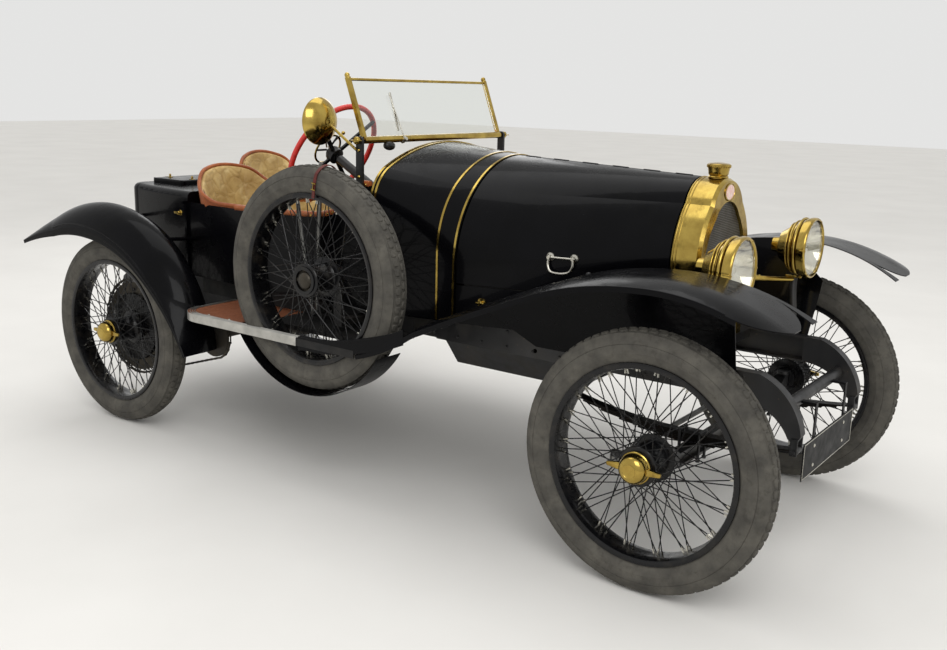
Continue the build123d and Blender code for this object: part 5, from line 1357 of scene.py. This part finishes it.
def dress_wings():
    """Rolled beads along the wings' outer edges, and bolts beside the bonnet on the front ones."""
    for side_name, side in SIDES:
        beads = []
        for node, stations in (("front_wings", (-250, 1000)), ("rear_wings", (2860, 2010))):
            run = edge_run(node, side, stations, 727.4, 60)
            run = [Vector((place.x, side * 727.2 * MM, place.z - 1.0 * MM)) for place in run]
            beads.append(tube(run, 3.7 * MM, rounds=2))
        fitted(joined(beads), side_name + "_wing_beads", "chassis", lacquer)
        bolts = []
        for behind in (150, 330, 520, 700):
            for y in (418, 438):
                hit, place, normal = dropped_on("front_wings", behind, side * y)
                if hit:
                    bolts.append(lathed(WING_BOLT_PROFILE, place, normal, 12))
        if bolts:
            fitted(joined(bolts), side_name + "_wing_bolts", "chassis", japan_black)


dress_boards()
dress_spare_well()
dress_gap_shade_sheets()
dress_wings()


# Spare wheel: strap and buckle over the tyre, and the centre cap
STRAP_WIDTH = 12 * MM
STRAP_LEAN = radians(9)
SPARE_CAP_PROFILE = (
    (0, 66), (12, 65.4), (23, 62.4), (30, 57), (33, 51), (42, 50), (44, 47), (44, 42), (0, 42),
)


def dress_spare():
    """Dark red strap buckled over the top of the spare tyre, and the carrier's dark cap."""
    points = [Vector((0, -53, 300)), Vector((0, -54, 340))]
    for step in range(1, 12):
        angle = radians(-78 + 13 * step)
        points.append(Vector((0, sin(angle) * 56, 355 + cos(angle) * 57)))
    points += [Vector((0, 54, 340)), Vector((0, 53, 300))]
    run = [place * MM - Vector((STRAP_WIDTH / 2, 0, 0)) for place in points]
    strap = band(smooth_line(run, 40), (STRAP_WIDTH, 0, 0), (0, 0, 0.01 * MM))
    modified(cleaned(strap), "SOLIDIFY", thickness=3 * MM, offset=1)
    bars = [block((-10 * MM, -61 * MM, low * MM), (10 * MM, -56 * MM, (low + 4) * MM), 1.2 * MM)
            for low in (328, 350)]
    tongue = block((-1.5 * MM, -62 * MM, 330 * MM), (1.5 * MM, -58 * MM, 353 * MM), 0.8 * MM)
    metal = joined(bars + [tongue])
    stand = Matrix.Translation(SPARE_PLACE) @ Matrix.Rotation(STRAP_LEAN, 4, "Y")
    for piece in (strap, metal):
        piece.data.transform(stand)
    fitted(soften(strap), "spare_strap", "chassis", strap_hide)
    fitted(metal, "spare_strap_buckle", "chassis", brass)
    lug = block((-46 * MM, -7 * MM, 48 * MM), (46 * MM, 7 * MM, 57 * MM), 3 * MM)
    cap = joined([turned(SPARE_CAP_PROFILE, steps=40), lug])
    cap.data.transform(wheel_place(SPARE_PLACE, -1))
    fitted(cap, "spare_hub_cap", "chassis", chain_steel)


dress_spare()


# Tail: clips and edging on the lid, and the side catches
LID_TOP = 1.03
# Columns: rear and front station, low and high side
LID_STRIPS = ((2784, 2576, -246, -240), (2784, 2576, 240, 246), (2582, 2576, -246, 246))
CATCH_PLATE_PROFILE = ((0, 3), (11, 2.6), (13, 0), (13, -3), (0, -3))
CATCH_STUD_PROFILE = ((0, 15), (6, 14), (8, 10), (5, 6), (5, 0), (0, 0))


def dress_tail():
    """Brass clips and edging on the locker lid, and the small catches on the tail's side."""
    clips = []
    for y in (-170, 170):
        for behind in (2600, 2760):
            x = at(behind)
            low = (x - 13 * MM, (y - 8) * MM, LID_TOP + 0.5 * MM)
            high = (x + 13 * MM, (y + 8) * MM, LID_TOP + 3.5 * MM)
            stud = bar((x, y * MM, LID_TOP), (x, y * MM, LID_TOP + 16 * MM), 5 * MM, 16, 1.4 * MM)
            clips += [block(low, high, 1.2 * MM, 1), stud]
    fitted(joined(clips), "locker_lid_clips", "boot_lid", brass)
    low_z, high_z = LID_TOP + 0.2 * MM, LID_TOP + 2.2 * MM
    strips = [block((at(rear), low * MM, low_z), (at(front), high * MM, high_z), 0.7 * MM, 1)
              for rear, front, low, high in LID_STRIPS]
    fitted(joined(strips), "locker_lid_edging", "boot_lid", japan_black)
    catches = []
    for side in (-1, 1):
        place = on_skin("body_tub", at(2390), 0.915, side)
        catches.append(lathed(CATCH_PLATE_PROFILE, place, (0, side, 0)))
        catches.append(lathed(CATCH_STUD_PROFILE, place, (0, side, 0)))
        middle = place + Vector((0, side * 5 * MM, 0))
        catches.append(block(middle - Vector((34, 2, 4)) * MM, middle + Vector((4, 2, 4)) * MM, 1.2 * MM))
    fitted(joined(catches), "tail_side_catches", "chassis", brass)


dress_tail()


# Number plate: raised border and four bolts, nothing on the plate
# Columns: left, low, right, high
PLATE_BORDER = ((-247, 319, 247, 322), (-247, 432, 247, 435), (-247, 322, -244, 432), (244, 322, 247, 432))
PLATE_BOLT_PROFILE = ((0, 3.2), (4, 2.8), (6.4, 0.6), (6.4, -1), (0, -1))


def dress_plate():
    """Narrow bright border and bolts of the bare plate."""
    x = X_FRONT + 348 * MM
    parts = [block((x - 0.5 * MM, left * MM, low * MM), (x + 1.4 * MM, right * MM, high * MM), 0.5 * MM, 1)
             for left, low, right, high in PLATE_BORDER]
    for y in (-150, 150):
        for z in (345, 409):
            parts.append(lathed(PLATE_BOLT_PROFILE, (x, y * MM, z * MM), AHEAD, 14))
    fitted(joined(parts), "plate_border", "chassis", bright_nickel)


dress_plate()


# Windscreen: hinge knobs, post bolts, finials, wiper and the dark lamp
SCREEN_X = at(1297)
SCREEN_Z = 1281 * MM
SCREEN_RAKE = radians(20.4)
KNOB_PROFILE = ((11.2, -12), (13, -11), (14, -8), (14, 0), (12, 3), (6, 5), (0, 5.6), (0, -12))
FINIAL_PROFILE = ((0, 20), (4, 18), (7, 13), (6, 8), (9, 5), (10.6, 0), (9, -6), (0, -8))
POST_BOLT_PROFILE = ((0, 5), (4, 4.4), (6.5, 2), (7, 0), (7, -1), (0, -1))
PIVOT_PROFILE = ((0, 16), (7, 15), (9, 10), (9, 0), (12, -3), (12, -10), (0, -10))
DARK_LAMP_PROFILE = ((0, 24), (8, 22), (14, 15), (17, 2), (17, -14), (14, -28), (7, -35), (0, -36))
WIPER_ARM = ((-0.215, -0.012, 0.014), (-0.222, 0.06, 0.013), (-0.232, 0.172, 0.010))


def screen_point(y, up, ahead=0.0):
    """Point on the raked glass in metres: across, up along the glass, and ahead of it."""
    return Vector((SCREEN_X - up * sin(SCREEN_RAKE) + ahead * cos(SCREEN_RAKE), y,
                   SCREEN_Z + up * cos(SCREEN_RAKE) + ahead * sin(SCREEN_RAKE)))


def dress_screen():
    """Winged hinge knobs, post bolts, finials, hand wiper and the dark lamp under the rail."""
    brass_parts = []
    finials = []
    for side in (1, -1):
        wing_piece = block((-23 * MM, -3 * MM, -6 * MM), (23 * MM, 3 * MM, 5 * MM), 2.4 * MM)
        reshaped(wing_piece, lambda spot: abs(spot.x) > 14 * MM, scale=(1, 0.7, 1.5))
        knob = joined([turned(KNOB_PROFILE, steps=24), wing_piece])
        brass_parts.append(placed(knob, (SCREEN_X, side * 473 * MM, SCREEN_Z), (0, side, 0)))
        up = (-sin(SCREEN_RAKE), 0, cos(SCREEN_RAKE))
        finials.append(lathed(FINIAL_PROFILE, screen_point(side * 426 * MM, 0.235), up))
        for rise in (1040, 1150, 1245):
            place = (SCREEN_X, side * 457 * MM, rise * MM)
            brass_parts.append(lathed(POST_BOLT_PROFILE, place, (0, side, 0), 6))
    fitted(joined(brass_parts), "screen_knobs", "chassis", brass)
    fitted(joined(finials), "screen_finials", "windscreen", brass)
    arm = tube([screen_point(*place) for place in WIPER_ARM], 2.6 * MM, rounds=2)
    blade = block((-2 * MM, -4 * MM, -75 * MM), (3 * MM, 4 * MM, 75 * MM), 1 * MM, 1)
    lean = Matrix.Rotation(-SCREEN_RAKE, 4, "Y") @ Matrix.Rotation(radians(-3), 4, "X")
    blade.data.transform(Matrix.Translation(screen_point(-0.226, 0.105, 0.006)) @ lean)
    pivot = lathed(PIVOT_PROFILE, screen_point(-0.215, -0.006, 0.008), (1, 0, 0.37))
    fitted(joined([arm, pivot]), "screen_wiper_arm", "windscreen", bright_nickel)
    fitted(blade, "screen_wiper_blade", "windscreen", bright_nickel)
    lamp = lathed(DARK_LAMP_PROFILE, (SCREEN_X + 6 * MM, -300 * MM, 1.258), (0.2, -1, 0.1), 28)
    stalk = bar((SCREEN_X + 2 * MM, -296 * MM, 1.262), (SCREEN_X, -292 * MM, 1.276), 5 * MM, 12)
    fitted(joined([lamp, stalk]), "under_screen_bulb", "chassis", japan_black)


dress_screen()


# Steering: boss, spark and throttle levers on their quadrant
BOSS_PROFILE = ((0, 24), (14, 23), (22, 18), (24, 10), (31, 7), (33, 0), (33, -24), (30, -26), (0, -26))
QUADRANT_PROFILE = ((60, 31), (68, 31), (68, 35), (60, 35), (60, 31))


def dress_steering():
    """Turned boss, quadrant and two levers above the steering wheel."""
    up = Vector((-sin(STEERING_TILT), 0, cos(STEERING_TILT)))

    def on_hub(piece, turn):
        """Turns a piece about the column and puts it on the wheel's hub."""
        piece.data.transform(Matrix.Rotation(radians(turn), 4, "Z"))
        return placed(piece, STEERING_HUB, up)

    boss = [lathed(BOSS_PROFILE, STEERING_HUB, up, 40)]
    brass_parts = [lathed(QUADRANT_PROFILE, STEERING_HUB, up, 48)]
    for turn in (20, 160, 270):
        arm = block((10 * MM, -4 * MM, 26 * MM), (63 * MM, 4 * MM, 32 * MM), 1.5 * MM, 1)
        boss.append(on_hub(arm, turn))
    fitted(joined(boss), "steering_boss", "steering_wheel", japan_black)
    for turn in (-35, 40):
        lever = block((6 * MM, -3.4 * MM, 36 * MM), (92 * MM, 3.4 * MM, 40 * MM), 1.5 * MM, 1)
        brass_parts.append(on_hub(joined([lever, placed(ball(8), (92 * MM, 0, 38 * MM))]), turn))
    fitted(joined(brass_parts), "steering_quadrant", "steering_wheel", brass)


dress_steering()


# Dashboard: gauges with bare dials, switches, and the pedals below
GAUGES = ((-60, 1086, 44), (70, 1090, 38), (170, 1078, 30), (270, 1060, 34), (-345, 1058, 26))
SWITCH_PROFILE = ((0, 18), (7, 17), (10, 12), (7, 7), (4, 6), (4, 2), (11, 1), (12, -1), (0, -1))


def gauge_rim(radius):
    """Section of a gauge's rolled rim, in millimetres."""
    return [(radius + out, height) for out, height in ((-3, 0), (-2, 9), (1, 12), (5, 9), (6, 0), (-3, 0))]


def dress_dashboard():
    """Brass-rimmed gauges, switch knobs and three pedals."""
    face = at(1232)
    back = (-1, 0, 0)
    rims = []
    dials = []
    hands = []
    for y, z, radius in GAUGES:
        place = (face, y * MM, z * MM)
        inner = radius - 2.6
        rims.append(lathed(gauge_rim(radius), place, back, 40))
        dials.append(lathed([(0, 4), (inner, 4), (inner, 0), (0, 0)], place, back, 40))
        hand = block((-1.2 * MM, -0.14 * radius * MM, 4.4 * MM), (1.2 * MM, 0.74 * radius * MM, 5.4 * MM),
                     0.3 * MM, 1)
        hand.data.transform(Matrix.Rotation(radians(y * 1.7), 4, "Z"))
        hands.append(placed(hand, place, back))
    for y, z in ((0, 1022), (45, 1022), (90, 1022), (-120, 1030)):
        rims.append(lathed(SWITCH_PROFILE, (face, y * MM, z * MM), back))
    fitted(joined(rims), "gauge_rims", "chassis", brass)
    fitted(joined(dials), "gauge_dials", "chassis", dial_white)
    fitted(joined(hands), "gauge_hands", "chassis", japan_black)
    pedals = []
    for y in (-285, -215, -150):
        bends = [(at(behind), y * MM, z) for behind, z in ((1085, 0.70), (1075, 0.76), (1100, 0.83))]
        pedals.append(tube(smooth_line(bends, 8), 7 * MM, rounds=2))
        pad = block((-26 * MM, -24 * MM, -5 * MM), (26 * MM, 24 * MM, 5 * MM), 3 * MM)
        pedals.append(placed(pad, (at(1108), y * MM, 0.838), (-0.8, 0, 0.55)))
    fitted(joined(pedals), "pedals", "chassis", steel)


dress_dashboard()


# Springs: separate leaves, clips and U-bolts, on the plain springs' places
SPRINGS = (
    ("front", (X_FRONT + 335 * MM, 0.428), (X_FRONT, 0.3978), (at(470), 0.460), (0.470, 0.572), 0.325),
    ("rear", (at(2100), 0.524), (X_REAR, 0.4668), (at(2960) + 4 * MM, 0.496), (0.572, 0.536), 0.36),
)
LEAF_COUNT = 6
LEAF_THICK = 5.4 * MM
LEAF_HALF_WIDTH = 19.6 * MM
EYE_RADIUS = 12.5 * MM


def leaf_point(spring, share, number):
    """Point of one leaf: share runs from -1 at the rear eye to 1 at the front one."""
    front_eye, seat, rear_eye = spring[1:4]
    eye = front_eye if share > 0 else rear_eye
    part = abs(share)
    middle = seat[1] + (eye[1] - seat[1]) * part ** 2
    at_seat = (14.0 - 5.6 * number) * MM
    at_eye = (4.2 - 5.6 * number) * MM
    return Vector((seat[0] + (eye[0] - seat[0]) * part, 0, middle + at_seat * (1 - part) + at_eye * part))


def leaf_pack(spring):
    """Leaves, clips, shackles and U-bolts of one spring about the plane y = 0."""
    leaves = []
    for number in range(LEAF_COUNT):
        reach = 1 - 0.15 * number
        run = [leaf_point(spring, reach * (step / 8 - 1), number) for step in range(17)]
        run = [place - Vector((0, LEAF_HALF_WIDTH, LEAF_THICK / 2)) for place in run]
        leaf = band(run, (0, 0, LEAF_THICK), (0, 2 * LEAF_HALF_WIDTH, 0))
        leaves.append(modified(leaf, "BEVEL", width=0.9 * MM, segments=1, limit_method="ANGLE"))
    irons = []
    for (x, z), top in zip((spring[1], spring[3]), spring[4]):
        irons.append(bar((x, -31 * MM, z), (x, 31 * MM, z), 8 * MM, 6, 1 * MM))
        irons.append(bar((x, -LEAF_HALF_WIDTH, z), (x, LEAF_HALF_WIDTH, z), EYE_RADIUS, 24, 1 * MM))
        for face in (-1, 1):
            low, high = sorted((face * 20.4 * MM, face * 25.6 * MM))
            irons.append(block((x - 12 * MM, low, z - 13 * MM), (x + 12 * MM, high, top), 2 * MM))
    for share in (-0.42, 0.42):
        spot = leaf_point(spring, share, 1)
        irons.append(block(spot - Vector((8, 23, 15)) * MM, spot + Vector((8, 23, 12)) * MM, 2 * MM))
    seat = Vector((spring[2][0], 0, spring[2][1]))
    foot = spring[5]
    for x in (seat.x - 34 * MM, seat.x + 34 * MM):
        for y in (-24.5 * MM, 24.5 * MM):
            irons.append(bar((x, y, foot), (x, y, seat.z + 24 * MM), 4.6 * MM, 12))
            irons.append(bar((x, y, foot), (x, y, foot + 9 * MM), 8 * MM, 6, 1 * MM))
        irons.append(bar((x, -29 * MM, seat.z + 23 * MM), (x, 29 * MM, seat.z + 23 * MM), 4.6 * MM, 12))
    irons.append(block(seat + Vector((-44, -27, 16.4)) * MM, seat + Vector((44, 27, 20.4)) * MM, 1.5 * MM))
    return joined(leaves), joined(irons)


def dress_springs():
    """Puts a leaf pack at each of the four places."""
    for spring in SPRINGS:
        leaves, irons = leaf_pack(spring)
        for side_name, side in SIDES:
            stand = Matrix.Translation((0, side * RAIL_Y, 0))
            name = spring[0] + "_" + side_name
            stands_for = ["leaf_springs"] if name == "front_left" else ()
            fitted(copied(leaves, stand), name + "_leaf_spring", "chassis", spring_steel,
                   stands_for)
            fitted(copied(irons, stand), name + "_spring_irons", "chassis", japan_black)
        for piece in (leaves, irons):
            bpy.data.objects.remove(piece)


dress_springs()


# Frame: rows of rivets along the rails
RIVET_PROFILE = ((0, 4), (3.4, 3.2), (5.6, 1), (6, -1), (0, -1))


def dress_frame():
    """Dome rivets along both rails."""
    rivets = []
    for side in (-1, 1):
        for behind in range(-160, 2800, 110):
            for z in (0.578, 0.634):
                start = Vector((at(behind), side * 0.5, z))
                hit, place, _, _ = nodes["frame_rails"].ray_cast(start, Vector((0, -side, 0)))
                if hit and abs(place.y) > 0.3:
                    rivets.append(lathed(RIVET_PROFILE, place, (0, side, 0), 10))
    fitted(joined(rivets), "rail_rivets", "chassis", enamel)


dress_frame()


# Camera at the photograph's place, with its own roll
def add_camera():
    """Camera fitted to the photograph's wheels and frame."""
    yaw, pitch, roll = 2.1969, -0.2292, 0.0247
    ahead = Vector((cos(yaw) * cos(pitch), sin(yaw) * cos(pitch), sin(pitch)))
    level = Vector((sin(yaw), -cos(yaw), 0))
    above = level.cross(ahead)
    right = level * cos(roll) + above * sin(roll)
    up = above * cos(roll) - level * sin(roll)
    data = bpy.data.cameras.new("camera")
    data.sensor_width = 36
    data.lens = 38.846
    data.clip_end = 60
    camera = bpy.data.objects.new("camera", data)
    camera.matrix_world = Matrix((
        (right.x, up.x, -ahead.x, 2615.15 * MM),
        (right.y, up.y, -ahead.y, -3253.0 * MM),
        (right.z, up.z, -ahead.z, 1481.5 * MM),
        (0, 0, 0, 1),
    ))
    bpy.context.scene.collection.objects.link(camera)
    bpy.context.scene.camera = camera


def add_floor():
    """Plain pale floor, not part of the car."""
    bpy.ops.object.select_all(action="DESELECT")
    bpy.ops.mesh.primitive_plane_add(size=60, location=(0, 0, 0))
    floor = bpy.context.object
    floor.name = "floor"
    material, shader = new_material("pale_studio_floor", specular_ior_level=0.1)
    linked(material, mixed(material, graded(material, noise(material, 900, 4), 0, 1), "#dedcd8", "#e4e2de"),
           shader, "Base Color")
    roughened(material, shader, noise(material, 300, 3), 0.8, 0.95)
    floor.data.materials.append(material)


def add_lamp(name, place, aim, size, energy, colour="#ffffff"):
    """Soft square lamp that looks at a point."""
    data = bpy.data.lights.new(name, "AREA")
    data.shape = "RECTANGLE"
    data.size, data.size_y = size
    data.energy = energy
    data.color = linear(colour)[:3]
    lamp = bpy.data.objects.new(name, data)
    direction = Vector(aim) - Vector(place)
    lamp.matrix_world = Matrix.Translation(place) @ direction.to_track_quat("-Z", "Y").to_matrix().to_4x4()
    bpy.context.scene.collection.objects.link(lamp)


def add_world():
    """Pale surroundings: white where the camera, gloss and glass see them, softer for the light they give."""
    world = bpy.data.worlds.new("studio")
    world.use_nodes = True
    tree = world.node_tree
    shade = tree.nodes["Background"]
    paths = tree.nodes.new("ShaderNodeLightPath")
    seen = tree.nodes.new("ShaderNodeMath")
    seen.operation = "MAXIMUM"
    tree.links.new(paths.outputs["Is Camera Ray"], seen.inputs[0])
    tree.links.new(paths.outputs["Is Transmission Ray"], seen.inputs[1])
    either = tree.nodes.new("ShaderNodeMath")
    either.operation = "MAXIMUM"
    tree.links.new(seen.outputs[0], either.inputs[0])
    tree.links.new(paths.outputs["Is Glossy Ray"], either.inputs[1])
    strength = tree.nodes.new("ShaderNodeMapRange")
    strength.inputs["To Min"].default_value = 1.0
    strength.inputs["To Max"].default_value = 0.86
    tree.links.new(either.outputs[0], strength.inputs["Value"])
    tree.links.new(strength.outputs["Result"], shade.inputs["Strength"])
    shade.inputs["Color"].default_value = linear("#f4f4f3")
    bpy.context.scene.world = world


add_camera()
add_floor()
add_world()
add_lamp("key_softbox", (3.2, -3.6, 4.2), (0, 0, 0.7), (3.0, 3.0), 95)
add_lamp("top_softbox", (-0.6, 0.4, 5.2), (0, 0, 0), (5.0, 3.0), 70)
add_lamp("far_softbox", (-4.0, 4.5, 3.4), (0, 0, 0.6), (3.0, 3.0), 50)
bpy.context.scene.view_settings.view_transform = "Standard"
bpy.context.view_layer.update()
